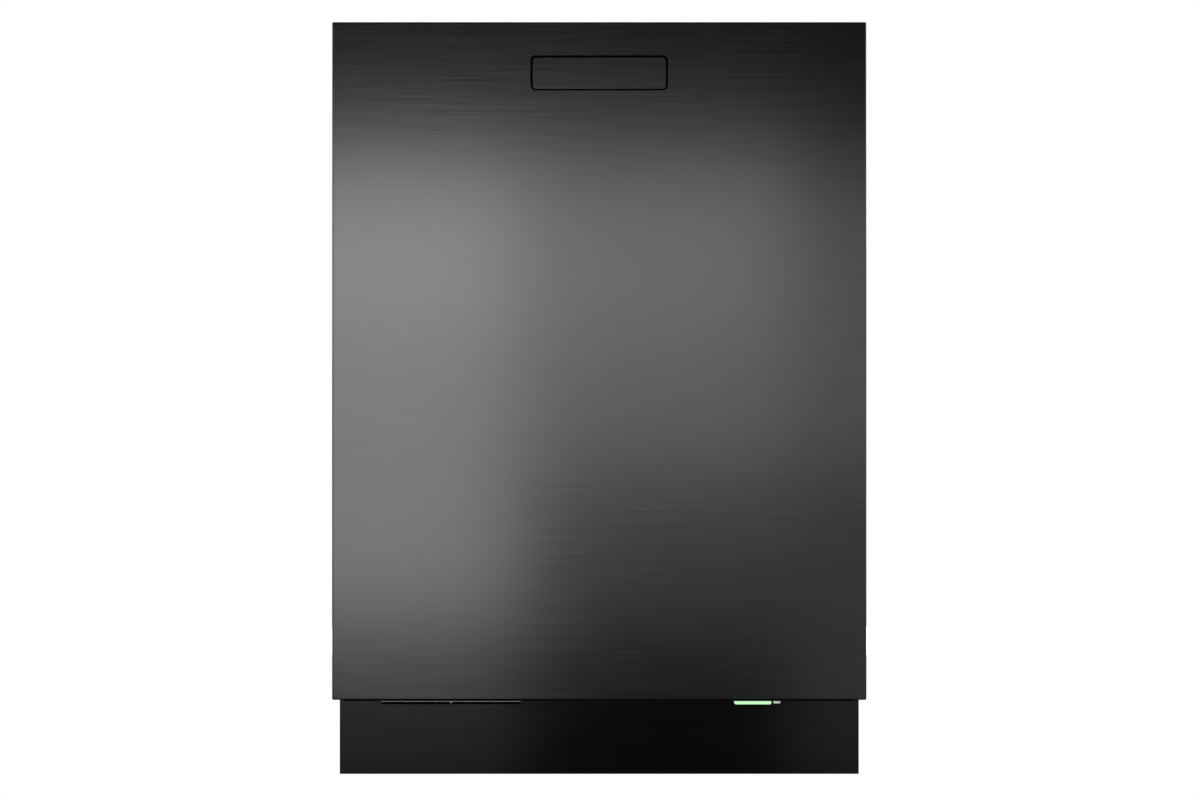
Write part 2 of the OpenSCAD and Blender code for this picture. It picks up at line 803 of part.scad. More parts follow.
module handle_flap() {
    color([0.16, 0.16, 0.17]) {
        wall_xz(front, flap_t) translate([0, (flap_top + flap_bottom) / 2])
            polygon(rounded(flap_half * 2, flap_top - flap_bottom, handle_corner - flap_gap_bottom));
        for (x = [-barrel_x, barrel_x - barrel_w]) difference() {
            union() {
                bar_x(x, x + barrel_w, flap_axis_y, flap_axis_z, barrel_r);
                span([x, front + flap_t - 0.5, flap_axis_z - 1.5],
                    [x + barrel_w, flap_axis_y, flap_axis_z + barrel_r]);
            }
            bar_x(x - 1, x + barrel_w + 1, flap_axis_y, flap_axis_z, flap_pin_r + running);
        }
    }
}

module button(x) {
    color("dimgray") translate([x, button_y, 0]) {
        translate([0, 0, strip_top - 10]) cylinder(r = button_r, h = 11);
        translate([0, 0, strip_top - strip_wall - 0.1 - button_flange])
            cylinder(r = button_r + 1.2, h = button_flange);
    }
}

module button_power() {
    button(button_xs[0]);
}

module button_program() {
    button(button_xs[1]);
}

module button_options() {
    button(button_xs[2]);
}

module button_start() {
    button(button_xs[3]);
}

module latch_catch() {
    color("silver") difference() {
        union() {
            bar_x(-6, 6, catch_y, catch_z, 2.4);
            span([-6, catch_y, catch_z - 1.2], [6, strip_back - strip_wall - 1, catch_z + 0.6]);
        }
        bar_x(-7, 7, catch_y, catch_z, 1 + running);
    }
}

// Racks and spray arms

// One flat grille of each wall of a basket; the sides are cut back under the sloping front
module basket(half, y0, y1, z0, h, slope, nx, ny, nz) {
    long = y1 - y0 - wire * 2 - joint_gap * 2;
    flat = long - slope;
    translate([-half + wire + joint_gap, y0 + wire + joint_gap + slope, z0]) linear_extrude(wire)
        grille(2 * (half - wire - joint_gap), flat, nx, ny);
    both_sides() wall_yz(half - wire, wire) translate([y0 + wire + joint_gap, z0]) {
        intersection() {
            grille(long, h, ny, nz);
            polygon([[0, slope], [slope, 0], [long, 0], [long, h], [0, h]]);
        }
        if (slope > 0) polygon([[0, slope], [slope, 0], [slope + wire * 2, 0], [0, slope + wire * 2]]);
    }
    wall_xz(y0, wire) translate([-half, z0 + slope]) grille(half * 2, h - slope, nx, slope > 0 ? nz - 1 : nz);
    wall_xz(y1 - wire, wire) translate([-half, z0]) grille(half * 2, h, nx, nz);
    if (slope > 0)
        translate([-half + wire + joint_gap, y0 + wire + 1, z0 + slope]) rotate([-45, 0, 0])
            translate([0, 1, -wire]) linear_extrude(wire)
                grille(2 * (half - wire - joint_gap), slope * sqrt(2) - 6, nx, 1);
}

// A row of upright tines along Y, standing on a bar
module tine_row(x, y0, y1, z0, h, pitch) {
    count = floor((y1 - y0) / pitch);
    translate([x - tine_r, 0, 0]) wall_yz(0, tine_r * 2) union() {
        translate([y0, z0]) square([y1 - y0, tine_r * 2]);
        for (i = [0 : count]) translate([y0 + i * pitch - tine_r + 3, z0]) square([tine_r * 2, h]);
    }
}

module lower_rack() {
    color("lightgray") {
        basket(rack_half, rack_front, rack_back, lower_z, lower_rack_h, lower_slope, 8, 8, 3);
        for (i = [-3 : 3]) if (i != 1)
            tine_row(i * row_pitch, row_front, row_back, lower_z + wire + joint_gap, tine_h, tine_pitch);
        for (y = clip_ys) difference() {
            span([row_pitch - 5, y - 3, lower_z + wire + joint_gap], [row_pitch + 5, y + 3, fold_z + 4.5]);
            bar_y(row_pitch, y - 4, y + 4, fold_z, tine_r + running);
        }
    }
    color("gray") both_sides() for (y = wheel_ys) {
        span([rack_half + joint_gap, y - 11, wheel_z - 5], [wheel_x - 1, y + 11, lower_z + 30]);
        bar_x(wheel_x - 1.5, wheel_x + wheel_w + 1, y, wheel_z, axle_r);
    }
}

module wheels(y) {
    color("gray") for (x = [-wheel_x - wheel_w, wheel_x]) difference() {
        bar_x(x, x + wheel_w, y, wheel_z, wheel_r);
        bar_x(x - 1, x + wheel_w + 1, y, wheel_z, axle_r + running);
    }
}

module front_wheels() {
    wheels(wheel_ys[0]);
}

module rear_wheels() {
    wheels(wheel_ys[1]);
}

module fold_tines() {
    count = floor((row_back - row_front) / tine_pitch);
    color("lightgray") {
        bar_y(row_pitch, row_front, row_back, fold_z, tine_r);
        for (i = [0 : count])
            translate([row_pitch, row_front + i * tine_pitch + 3, fold_z]) cylinder(r = tine_r, h = fold_h);
    }
}

module upper_rack() {
    color("lightgray") {
        basket(rack_half, rack_front, rack_back, upper_z, upper_rack_h, 0, 8, 8, 3);
        for (i = [-2, -1, 1, 2])
            tine_row(i * upper_row_pitch, row_front, row_back, upper_z + wire + joint_gap, upper_tine_h,
                tine_pitch);
    }
    color("gray") {
        both_sides() span([rack_half + joint_gap, rack_front + 20, rail_z - 8],
            [slide_x - joint_gap, rack_back - 20, rail_z + 8]);
        span([-12, centre_y, upper_z - 9], [12, dock_end, upper_z - joint_gap]);
        bar_y(0, dock_end - 1, duct_face - 2, dock_z, dock_r + 2);
        translate([0, centre_y, mid_z - 4]) cylinder(r = 6, h = upper_z - 5 - mid_z + 4);
        translate([0, centre_y, mid_z - 6]) cylinder(r = 9, h = 2);
    }
}

module upper_slides() {
    color("gainsboro") both_sides()
        span([slide_x, boss_y + 10, rail_z - 8], [tub_half - 2.5, rack_back - 4, rail_z + 8]);
}

module cutlery_tray() {
    color("lightgray") {
        basket(rack_half, rack_front, rack_back, tray_z, tray_h, 0, 10, 9, 1);
        for (x = tray_walls_x)
            span([x, rack_front + 6, tray_z + wire + joint_gap], [x + 2, rack_back - 6, tray_z + tray_h - 6]);
    }
    color("gray") both_sides()
        span([rack_half + joint_gap, rack_front, tray_rail_z - 8],
            [tub_half - 2.5, rack_back - 4, tray_rail_z + 8]);
}

// A two-ended spray arm with a hub; the nozzles are shallow domes along its top
module spray_arm(reach, z, t, hub_r, hub_low, hub_high, bore) {
    color("darkgray") translate([0, centre_y, 0]) difference() {
        union() {
            translate([0, 0, z]) linear_extrude(t) {
                for (s = [-1, 1]) {
                    translate([s * (reach - arm_tip), 0]) circle(r = arm_tip);
                    tip = s * (reach - arm_tip);
                    polygon([[0, arm_root], [tip, arm_tip - 0.01], [tip, 0.01 - arm_tip], [0, -arm_root]]);
                }
            }
            translate([0, 0, z - hub_low]) cylinder(r = hub_r, h = t + hub_low + hub_high);
            for (i = [1 : 4], s = [-1, 1])
                translate([s * reach * i / 5, s * 5, z + t - 0.5]) cylinder(r = 3, h = 2);
        }
        translate([0, 0, z - hub_low - 1]) cylinder(r = bore + running * 4, h = t + hub_low + hub_high + 2);
    }
}

module spray_arm_lower() {
    spray_arm(arm_reach, arm_z, arm_t, 22, 5, 1, shaft_r);
}

module spray_arm_middle() {
    spray_arm(mid_reach, mid_z, 8, 16, 3, 1, 6);
}

module spray_arm_top() {
    spray_arm(top_reach, top_arm_z, 7, 14, 3, 1, 6);
}

module filter_cup() {
    color("gray") translate([cup_x, cup_y, 0]) {
        difference() {
            translate([0, 0, cup_low]) cylinder(r = cup_r - 4, h = filter_z + 2 - cup_low);
            translate([0, 0, cup_low + 2]) cylinder(r = cup_r - 6, h = filter_z + 20);
        }
        difference() {
            translate([0, 0, filter_z + 1.6]) cylinder(r = cup_r + 3, h = 3);
            translate([0, 0, filter_z]) cylinder(r = cup_r - 6, h = 6);
        }
        span([-cup_r + 2, -2, filter_z + 2], [cup_r - 2, 2, arm_z - 3]);
    }
}

module float_cap() {
    color("gray") translate([float_x, float_y, 0]) {
        difference() {
            translate([0, 0, floor_z + 1]) cylinder(r = float_r, h = 19);
            translate([0, 0, floor_z]) cylinder(r = float_r - 2, h = 18);
        }
    }
}

// One levelling foot: pad and threaded stud
module foot(x, y) {
    color("dimgray") translate([x, y, 0]) {
        cylinder(r = foot_pad_r, h = foot_pad_h);
        translate([0, 0, foot_pad_h - 1]) cylinder(r = foot_stud_r, h = foot_stud_top - foot_pad_h + 1);
    }
}

module foot_front_left() {
    foot(-foot_x, foot_ys[0]);
}

module foot_front_right() {
    foot(foot_x, foot_ys[0]);
}

module foot_rear_left() {
    foot(-foot_x, foot_ys[1]);
}

module foot_rear_right() {
    foot(foot_x, foot_ys[1]);
}

tub();
tub_seal();
fine_filter();
sump();
feed_pipe();
circulation_pump();
drain_pump();
inlet_valve();
drain_hose();
junction_box();
base_tray();
insulation_mats();
chassis_frame();
counter_brackets();
hinge_plates();
toe_kick();
latch_strike();
rack_rails();
door_spring_left();
door_spring_right();
door_skin();
door_liner();
door_pad();
door_trim();
control_strip();
display_window();
handle_pocket();
flap_pin();
flap_spring();
dispenser_body();
door_vent();
status_light();
indicator_dot();
hinge_arm_left();
hinge_arm_right();
door_screws();
handle_flap();
button_power();
button_program();
button_options();
button_start();
dispenser_lid();
rinse_cap();
latch_catch();
upper_rack();
upper_slides();
lower_rack();
cutlery_tray();
spray_arm_lower();
spray_arm_middle();
spray_arm_top();
filter_cup();
float_cap();
foot_front_left();
foot_front_right();
foot_rear_left();
foot_rear_right();
front_wheels();
rear_wheels();
fold_tines();
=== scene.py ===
import json
import math

import bpy
from mathutils import Matrix, Vector


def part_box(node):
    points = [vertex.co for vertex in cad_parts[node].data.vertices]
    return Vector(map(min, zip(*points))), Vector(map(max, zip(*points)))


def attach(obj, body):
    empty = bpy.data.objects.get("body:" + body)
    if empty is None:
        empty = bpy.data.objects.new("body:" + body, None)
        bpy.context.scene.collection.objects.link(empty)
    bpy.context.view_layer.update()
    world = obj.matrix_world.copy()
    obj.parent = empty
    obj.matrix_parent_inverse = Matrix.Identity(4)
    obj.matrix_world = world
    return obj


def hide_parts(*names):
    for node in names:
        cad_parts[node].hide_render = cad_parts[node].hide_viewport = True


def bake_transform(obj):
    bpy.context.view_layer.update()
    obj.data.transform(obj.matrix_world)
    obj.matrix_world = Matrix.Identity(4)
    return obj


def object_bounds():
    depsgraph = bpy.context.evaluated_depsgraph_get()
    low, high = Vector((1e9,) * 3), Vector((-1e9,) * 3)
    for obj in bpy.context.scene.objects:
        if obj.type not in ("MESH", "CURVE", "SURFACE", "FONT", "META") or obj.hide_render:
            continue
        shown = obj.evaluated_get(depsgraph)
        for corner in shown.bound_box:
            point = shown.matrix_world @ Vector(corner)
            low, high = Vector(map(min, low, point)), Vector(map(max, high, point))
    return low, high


bl_info = {
    "name": "Built-in dishwasher",
    "version": (1, 0, 0),
    "blender": (4, 5, 0),
    "location": "3D View > Sidebar > Dishwasher",
    "description": "Builds the visible pieces of a built-in dishwasher around its mechanical model",
    "category": "Add Mesh",
}

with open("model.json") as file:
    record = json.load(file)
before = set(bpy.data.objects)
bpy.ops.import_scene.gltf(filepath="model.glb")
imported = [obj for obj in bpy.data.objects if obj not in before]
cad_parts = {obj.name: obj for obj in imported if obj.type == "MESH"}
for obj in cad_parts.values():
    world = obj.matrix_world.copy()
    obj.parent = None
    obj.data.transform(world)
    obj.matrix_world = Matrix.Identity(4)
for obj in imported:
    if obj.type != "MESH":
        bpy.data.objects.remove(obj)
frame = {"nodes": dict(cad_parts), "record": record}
CAD_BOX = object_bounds()
MM = 0.001
X, Y, Z = Vector((1, 0, 0)), Vector((0, 1, 0)), Vector((0, 0, 1))
# Where the lower rack and its wheel tracks begin, the room beside a rack, and the pitch of its wires
RACK_FRONT = -0.205
TRACK_FRONT = -0.228
SIDE_ROOM = 21 * MM
WIRE_PITCH = 26 * MM


# Sizes and colours


def length(name, description, millimetres):
    return bpy.props.FloatProperty(
        name=name, description=description, default=millimetres * MM, unit="LENGTH"
    )


def linear(hex_value):
    """An sRGB hex value as a linear colour."""
    parts = [int(hex_value[i:i + 2], 16) / 255 for i in (1, 3, 5)]
    return [p / 12.92 if p <= 0.04045 else ((p + 0.055) / 1.055) ** 2.4 for p in parts] + [1]


def colour(name, description, hex_value):
    return bpy.props.FloatVectorProperty(
        name=name, description=description, default=linear(hex_value), size=4, min=0, max=1, subtype="COLOR"
    )


class DishwasherSizes(bpy.types.PropertyGroup):
    fold: length("Fold radius", "Outer radius of the folds in the door skin and the toe kick", 1.6)
    sheet: length("Door sheet", "Thickness of the door skin and the toe kick", 1.2)
    liner: length("Liner sheet", "Thickness of the tub and the door liner", 1.4)
    pocket_rim: length("Pocket rim", "From the side of the handle opening to the side of the pocket", 7.7)
    pocket_sill: length("Pocket sill", "From the bottom of the handle opening to that of the pocket", 8.7)
    flap_gap_top: length("Flap top gap", "Gap above the handle flap", 2.5)
    opening_corner: length("Opening corner", "Corner radius of the handle opening", 5.5)
    kick_return: length("Kick return", "Depth of the toe kick's folded ends", 15)
    draw: length("Draw radius", "Radius of the deep-drawn corners of the tub", 12)
    wire: length("Wire", "Radius of the rack wires", 1.7)
    rim: length("Rim wire", "Radius of the rims of the racks", 2.4)
    bend: length("Wire bend", "Bend radius of the rack wires", 9)
    tine: length("Tine", "Radius of a tine", 1.5)
    spring_wire: length("Spring wire", "Radius of the door springs' wire", 0.9)
    lower_basket: length("Lower basket", "Height of the lower rack's basket", 180)
    upper_basket: length("Upper basket", "Height of the upper rack's basket", 150)


class DishwasherColours(bpy.types.PropertyGroup):
    black_steel: colour("Black steel", "Smoked clear coat over brushed steel", "#383838")
    # The kick is the door's own steel; its darker colour is painted shade for its recess under the door
    kick: colour("Toe kick", "Smoked clear coat over brushed steel, darkened as painted shade for the recess under the door", "#262626")
    stainless: colour("Stainless steel", "Rolled chrome steel sheet", "#bdbcb8")
    zinc: colour("Zinc", "Zinc-coated steel sheet", "#a4a8ab")
    black: colour("Black plastic", "Moulded black polypropylene", "#101011")
    dark: colour("Dark plastic", "Moulded dark grey polyamide", "#2a2b2e")
    grey: colour("Grey plastic", "Moulded grey polypropylene", "#8b9096")
    white: colour("White plastic", "Moulded white polyamide", "#e4e3dd")
    rack: colour("Rack coat", "Grey nylon dip over steel wire", "#b9bec4")
    rubber: colour("Seal", "Extruded rubber", "#232325")
    felt: colour("Felt", "Needled black felt", "#26262a")
    green: colour("Status light", "Lit green lens", "#c6fbc6")


RECORD = frame["record"]
SLOT = {row["node"]: row["material_slot"] for row in RECORD["subparts"]}
BODY = {node: body for body, nodes in RECORD["behaviour"]["bodies"].items() for node in nodes}
PRESSED = ("black_steel", "kick_paint", "stainless", "galvanised", "zinc_hardware", "filter_steel")


# Modelling


def alone(*pieces):
    """Selects these pieces and nothing else; the first one is active."""
    if bpy.context.object and bpy.context.object.mode != "OBJECT":
        bpy.ops.object.mode_set(mode="OBJECT")
    bpy.ops.object.select_all(action="DESELECT")
    for piece in pieces:
        piece.select_set(True)
    bpy.context.view_layer.objects.active = pieces[0]


def settle():
    """Puts the active piece's place, turn and size into its mesh."""
    bpy.ops.object.transform_apply(location=True, rotation=True, scale=True)
    return bpy.context.object


def cube(low, high):
    low, high = Vector(low), Vector(high)
    bpy.ops.object.select_all(action="DESELECT")
    bpy.ops.mesh.primitive_cube_add(size=1, location=(low + high) / 2, scale=high - low)
    return settle()


def side_cube(side, inner, outer, low, high):
    """A box on the right (1) or left (-1) between two distances from the middle; low and high are Y and Z."""
    start, end = sorted((side * inner, side * outer))
    return cube((start, *low), (end, *high))


def rod(start, end, radius, sides=24):
    """A cylinder between two points."""
    start, end = Vector(start), Vector(end)
    bpy.ops.object.select_all(action="DESELECT")
    turn = (end - start).to_track_quat("Z", "Y").to_euler()
    bpy.ops.mesh.primitive_cylinder_add(
        vertices=sides, radius=radius, depth=(end - start).length, location=(start + end) / 2, rotation=turn
    )
    return settle()


def edit():
    bpy.ops.object.mode_set(mode="EDIT")


def done():
    bpy.ops.object.mode_set(mode="OBJECT")


def pick(kind, test):
    """In edit mode, selects the faces, edges or vertices of the active piece that pass the test."""
    edit()
    bpy.ops.mesh.select_mode(type=kind)
    bpy.ops.mesh.select_all(action="DESELECT")
    done()
    mesh = bpy.context.object.data
    if kind == "FACE":
        for face in mesh.polygons:
            face.select = test(face.center, face.normal)
    elif kind == "EDGE":
        for edge in mesh.edges:
            edge.select = test(mesh.vertices[edge.vertices[0]].co, mesh.vertices[edge.vertices[1]].co)
    else:
        for vertex in mesh.vertices:
            vertex.select = test(vertex.co)
    edit()


def near(a, b, gap=0.02 * MM):
    return abs(a - b) < gap


def open_at(test):
    """Deletes the faces of the active piece whose normals pass the test."""
    pick("FACE", lambda centre, normal: test(normal))
    bpy.ops.mesh.delete(type="FACE")
    done()


def round_edges(test, radius, segments):
    """Rounds the edges of the active piece whose two ends pass the test."""
    pick("EDGE", test)
    bpy.ops.mesh.bevel(offset=radius, segments=segments)
    done()


def taper(test, scale, centre):
    """Scales the faces of the active piece whose normals pass the test."""
    pick("FACE", lambda face, normal: test(normal))
    bpy.ops.transform.resize(value=scale, center_override=centre)
    done()


def merge(gap):
    """In edit mode, merges the vertices of the active piece that are closer than the gap."""
    bpy.ops.mesh.select_all(action="SELECT")
    bpy.ops.mesh.remove_doubles(threshold=gap)


def modify(kind, **settings):
    """Adds a modifier to the active piece and applies it."""
    modifier = bpy.context.object.modifiers.new(kind.title(), kind)
    for key, value in settings.items():
        setattr(modifier, key, value)
    bpy.ops.object.modifier_apply(modifier=modifier.name)


def thicken(sheet, offset=-1):
    modify("SOLIDIFY", thickness=sheet, offset=offset)


def soften(width, segments=2, angle=35):
    modify("BEVEL", width=width, segments=segments, limit_method="ANGLE", angle_limit=math.radians(angle))


def smooth(angle=32):
    bpy.ops.object.shade_smooth_by_angle(angle=math.radians(angle))


def cut(piece, *tools):
    """Takes the tools' shapes out of the piece."""
    for tool in tools:
        alone(piece)
        modify("BOOLEAN", object=tool, operation="DIFFERENCE", solver="EXACT")
        bpy.data.objects.remove(tool)
    alone(piece)


def joined(*pieces):
    alone(*pieces)
    bpy.ops.object.join()
    return bpy.context.object


def copy_of(node):
    """A copy of a part of the mechanical model with its loose triangles merged into clean faces."""
    piece = bpy.data.objects.new(node, frame["nodes"][node].data.copy())
    piece.data.materials.clear()
    bpy.context.scene.collection.objects.link(piece)
    alone(piece)
    edit()
    merge(0.002 * MM)
    bpy.ops.mesh.dissolve_limited(angle_limit=math.radians(0.4))
    done()
    return piece


def finished(name, piece, finish):
    """Names a finished piece, smooths its rounded edges and gives it its finish."""
    alone(piece)
    smooth()
    modify("WEIGHTED_NORMAL", keep_sharp=True)
    piece.name = piece.data.name = name
    piece.data.materials.clear()
    piece.data.materials.append(FINISHES[finish])
    return piece


def stand_in(node, piece, name=None, finish=None):
    """Puts a finished piece in a node's place, on the node's body."""
    finish = finish or SLOT[node]
    made = "pressed" if finish in PRESSED else "moulded"
    finished(name or f"{node}_{made}", piece, finish)
    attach(piece, BODY[node])
    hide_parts(node)
    return piece


def beside(node, piece, name, finish):
    """Fits a further piece to a node's body."""
    finished(name, piece, finish)
    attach(piece, BODY[node])
    return piece


def softened(widths, finish=None):
    """Puts copies with rounded edges in the places of these nodes; each width is in millimetres."""
    for node, width in widths.items():
        piece = copy_of(node)
        soften(width * MM)
        stand_in(node, piece, finish=finish)


def copies(piece, shifts):
    """Copies of a piece moved by each shift, joined into one; the piece itself goes."""
    made = []
    for shift in shifts:
        other = piece.copy()
        other.data = piece.data.copy()
        other.data.transform(Matrix.Translation(shift))
        bpy.context.scene.collection.objects.link(other)
        made.append(other)
    bpy.data.objects.remove(piece)
    return joined(*made)


def box(node):
    """The lowest and highest corner of a node."""
    low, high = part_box(node)
    return Vector(low), Vector(high)


def coil(start, axis, span, radius, wire, turns, steps=14, sides=8):
    """A closed wire helix from a start point along Y or Z."""
    bpy.ops.object.select_all(action="DESELECT")
    tilt = (math.pi / 2, 0, 0) if axis == "Z" else (0, 0, 0)
    bpy.ops.mesh.primitive_circle_add(vertices=sides, radius=wire, location=start, rotation=tilt)
    bpy.ops.object.transform_apply(location=False, rotation=True, scale=True)
    edit()
    bpy.ops.transform.translate(value=(radius, 0, 0))
    done()
    modify("SCREW", axis=axis, screw_offset=span / turns, iterations=turns, steps=steps, render_steps=steps)
    edit()
    merge(0.005 * MM)
    bpy.ops.mesh.fill_holes(sides=sides)
    bpy.ops.mesh.select_all(action="SELECT")
    bpy.ops.mesh.normals_make_consistent(inside=False)
    done()
    return settle()


def bent_wire(points, radius, bend=0, closed=False):
    """A round wire through the points, with its bends rounded."""
    points = [Vector(p) for p in points]
    bpy.ops.object.select_all(action="DESELECT")
    bpy.ops.mesh.primitive_plane_add(size=MM, location=points[0])
    settle()
    edit()
    bpy.ops.mesh.select_mode(type="VERT")
    bpy.ops.mesh.select_all(action="SELECT")
    bpy.ops.mesh.merge(type="CENTER")
    for here, there in zip(points, points[1:] + points[:1] if closed else points[1:]):
        bpy.ops.mesh.extrude_vertices_move(TRANSFORM_OT_translate={"value": there - here})
    if closed:
        merge(0.01 * MM)
    done()
    corners = points if closed else points[1:-1]
    if bend and corners:
        pick("VERT", lambda co: any((co - c).length < 0.05 * MM for c in corners))
        bpy.ops.mesh.bevel(offset=bend, segments=4, affect="VERTICES")
        done()
    bpy.ops.object.convert(target="CURVE")
    curve = bpy.context.object.data
    curve.bevel_depth = radius
    curve.bevel_resolution = 2
    curve.use_fill_caps = True
    bpy.ops.object.convert(target="MESH")
    return bpy.context.object


def row(piece, count, step):
    """Repeats the piece in a line."""
    alone(piece)
    modify("ARRAY", count=count, use_relative_offset=False, use_constant_offset=True,
           constant_offset_displace=step)
    return piece


# Materials


def add(tree, kind, links=None, **settings):
    """Adds a node, sets its sockets and options, and links its inputs."""
    made = tree.nodes.new(kind)
    for key, value in settings.items():
        name = key.replace("_", " ")
        if name in made.inputs:
            made.inputs[name].default_value = value
        else:
            setattr(made, key, value)
    for key, source in (links or {}).items():
        tree.links.new(made.inputs[key], source)
    return made


def finish_of(name, colour, **sockets):
    """A new material: its tree and its shader, with the sockets that are the same all over."""
    material = bpy.data.materials.new(name)
    material.use_nodes = True
    tree = material.node_tree
    shader = tree.nodes["Principled BSDF"]
    shader.inputs["Base Color"].default_value = colour
    for key, value in sockets.items():
        shader.inputs[key.replace("_", " ")].default_value = value
    return material, tree, shader


def place(tree, spacing):
    """Object coordinates, counted in repeats of a pattern this many millimetres wide, deep and high."""
    coordinates = add(tree, "ShaderNodeTexCoord")
    return add(tree, "ShaderNodeMapping", {"Vector": coordinates.outputs["Object"]},
               Scale=[1 / (s * MM) for s in spacing]).outputs["Vector"]


def wear(tree, shader, pattern, colour, shade, rough, relief):
    """Lets a pattern vary the colour by a share, the roughness in a range and the height in millimetres."""
    ramp = add(tree, "ShaderNodeMix", {"Factor": pattern}, data_type="RGBA")
    ramp.inputs[6].default_value = [c * (1 - shade) for c in colour[:3]] + [1]
    ramp.inputs[7].default_value = [min(1, c * (1 + shade)) for c in colour[:3]] + [1]
    tree.links.new(shader.inputs["Base Color"], ramp.outputs[2])
    spread = add(tree, "ShaderNodeMapRange", {"Value": pattern}, To_Min=rough[0], To_Max=rough[1])
    tree.links.new(shader.inputs["Roughness"], spread.outputs["Result"])
    if relief:
        bump = add(tree, "ShaderNodeBump", {"Height": pattern}, Distance=relief * MM, Strength=1)
        tree.links.new(shader.inputs["Normal"], bump.outputs["Normal"])


def grained(name, colour, spacing, shade, rough, relief, detail=2, fade=0.5, **sockets):
    """A finish whose colour, roughness and height follow one noise pattern."""
    material, tree, shader = finish_of(name, colour, **sockets)
    spots = add(tree, "ShaderNodeTexNoise", {"Vector": place(tree, spacing)}, Scale=1, Detail=detail,
                Roughness=fade)
    wear(tree, shader, spots.outputs["Fac"], colour, shade, rough, relief)
    return material


def black_steel(name, colour, rough):
    # Ferritic steel, brushed across and covered with a smoked clear coat: soft, dark reflections with a
    # fine level grain. The real lines are 0.3 mm apart; these are drawn at 1.6 mm so that they show.
    return grained(name, colour, (120, 1.6, 1.6), 0.2, rough, 0.012, 3, 0.62,
                   Metallic=1, Anisotropic=0.2, Anisotropic_Rotation=0.25)


def satin_steel(name, colour, spacing):
    # Chrome steel, rolled and satin finished: bright, with streaks along the rolling direction. They are
    # drawn 1.4 mm apart so that they show.
    return grained(name, colour, spacing, 0.07, (0.24, 0.34), 0.006, 3, 0.6, Metallic=1, Anisotropic=0.35)


def zinc_sheet(colours):
    # Hot-dip galvanised steel: grey metal with crystals of about 7 mm
    material, tree, shader = finish_of("galvanised steel", colours.zinc, Metallic=1)
    cells = add(tree, "ShaderNodeTexVoronoi", {"Vector": place(tree, (7, 7, 7))}, Scale=1, Randomness=1)
    grey = add(tree, "ShaderNodeRGBToBW", {"Color": cells.outputs["Color"]})
    wear(tree, shader, grey.outputs["Val"], colours.zinc, 0.13, (0.34, 0.5), 0)
    return material


def etched_filter(colours):
    # Etched chrome steel sheet: round holes, painted darker than the metal between them as painted shade for
    # the dark seen through them. The real ones are 1 mm apart; these are drawn 2.4 mm apart so that they
    # show.
    material, tree, shader = finish_of("etched filter steel", colours.stainless, Metallic=1)
    holes = add(tree, "ShaderNodeTexVoronoi", {"Vector": place(tree, (2.4, 2.4, 2.4))}, Scale=1, Randomness=0)
    edge = add(tree, "ShaderNodeMapRange", {"Value": holes.outputs["Distance"]}, From_Min=0.25, From_Max=0.36)
    wear(tree, shader, edge.outputs["Result"], colours.stainless, 0.75, (0.6, 0.3), 0.3)
    return material


def moulded(name, colour, rough, grit, relief, gloss=0.5):
    # Injection-moulded plastic: the tool's spark texture breaks up the gloss. The real grain is 0.2 mm; it
    # is drawn at about 1 mm so that it shows.
    return grained(name, colour, (grit, grit, grit), 0.06, rough, relief, IOR=1.49, Specular_IOR_Level=gloss)


def lit_lens(name, colour, glow, strength):
    # Moulded diffusing lens that glows. The green status lens has a lamp behind it; the frosted indicator dot
    # is a clear sensor lens with no lamp, and its glow is a painted highlight.
    return grained(name, colour, (6, 6, 6), 0.06, (0.3, 0.4), 0.01,
                   IOR=1.49, Emission_Strength=strength, Emission_Color=glow)


FINISHES = {}


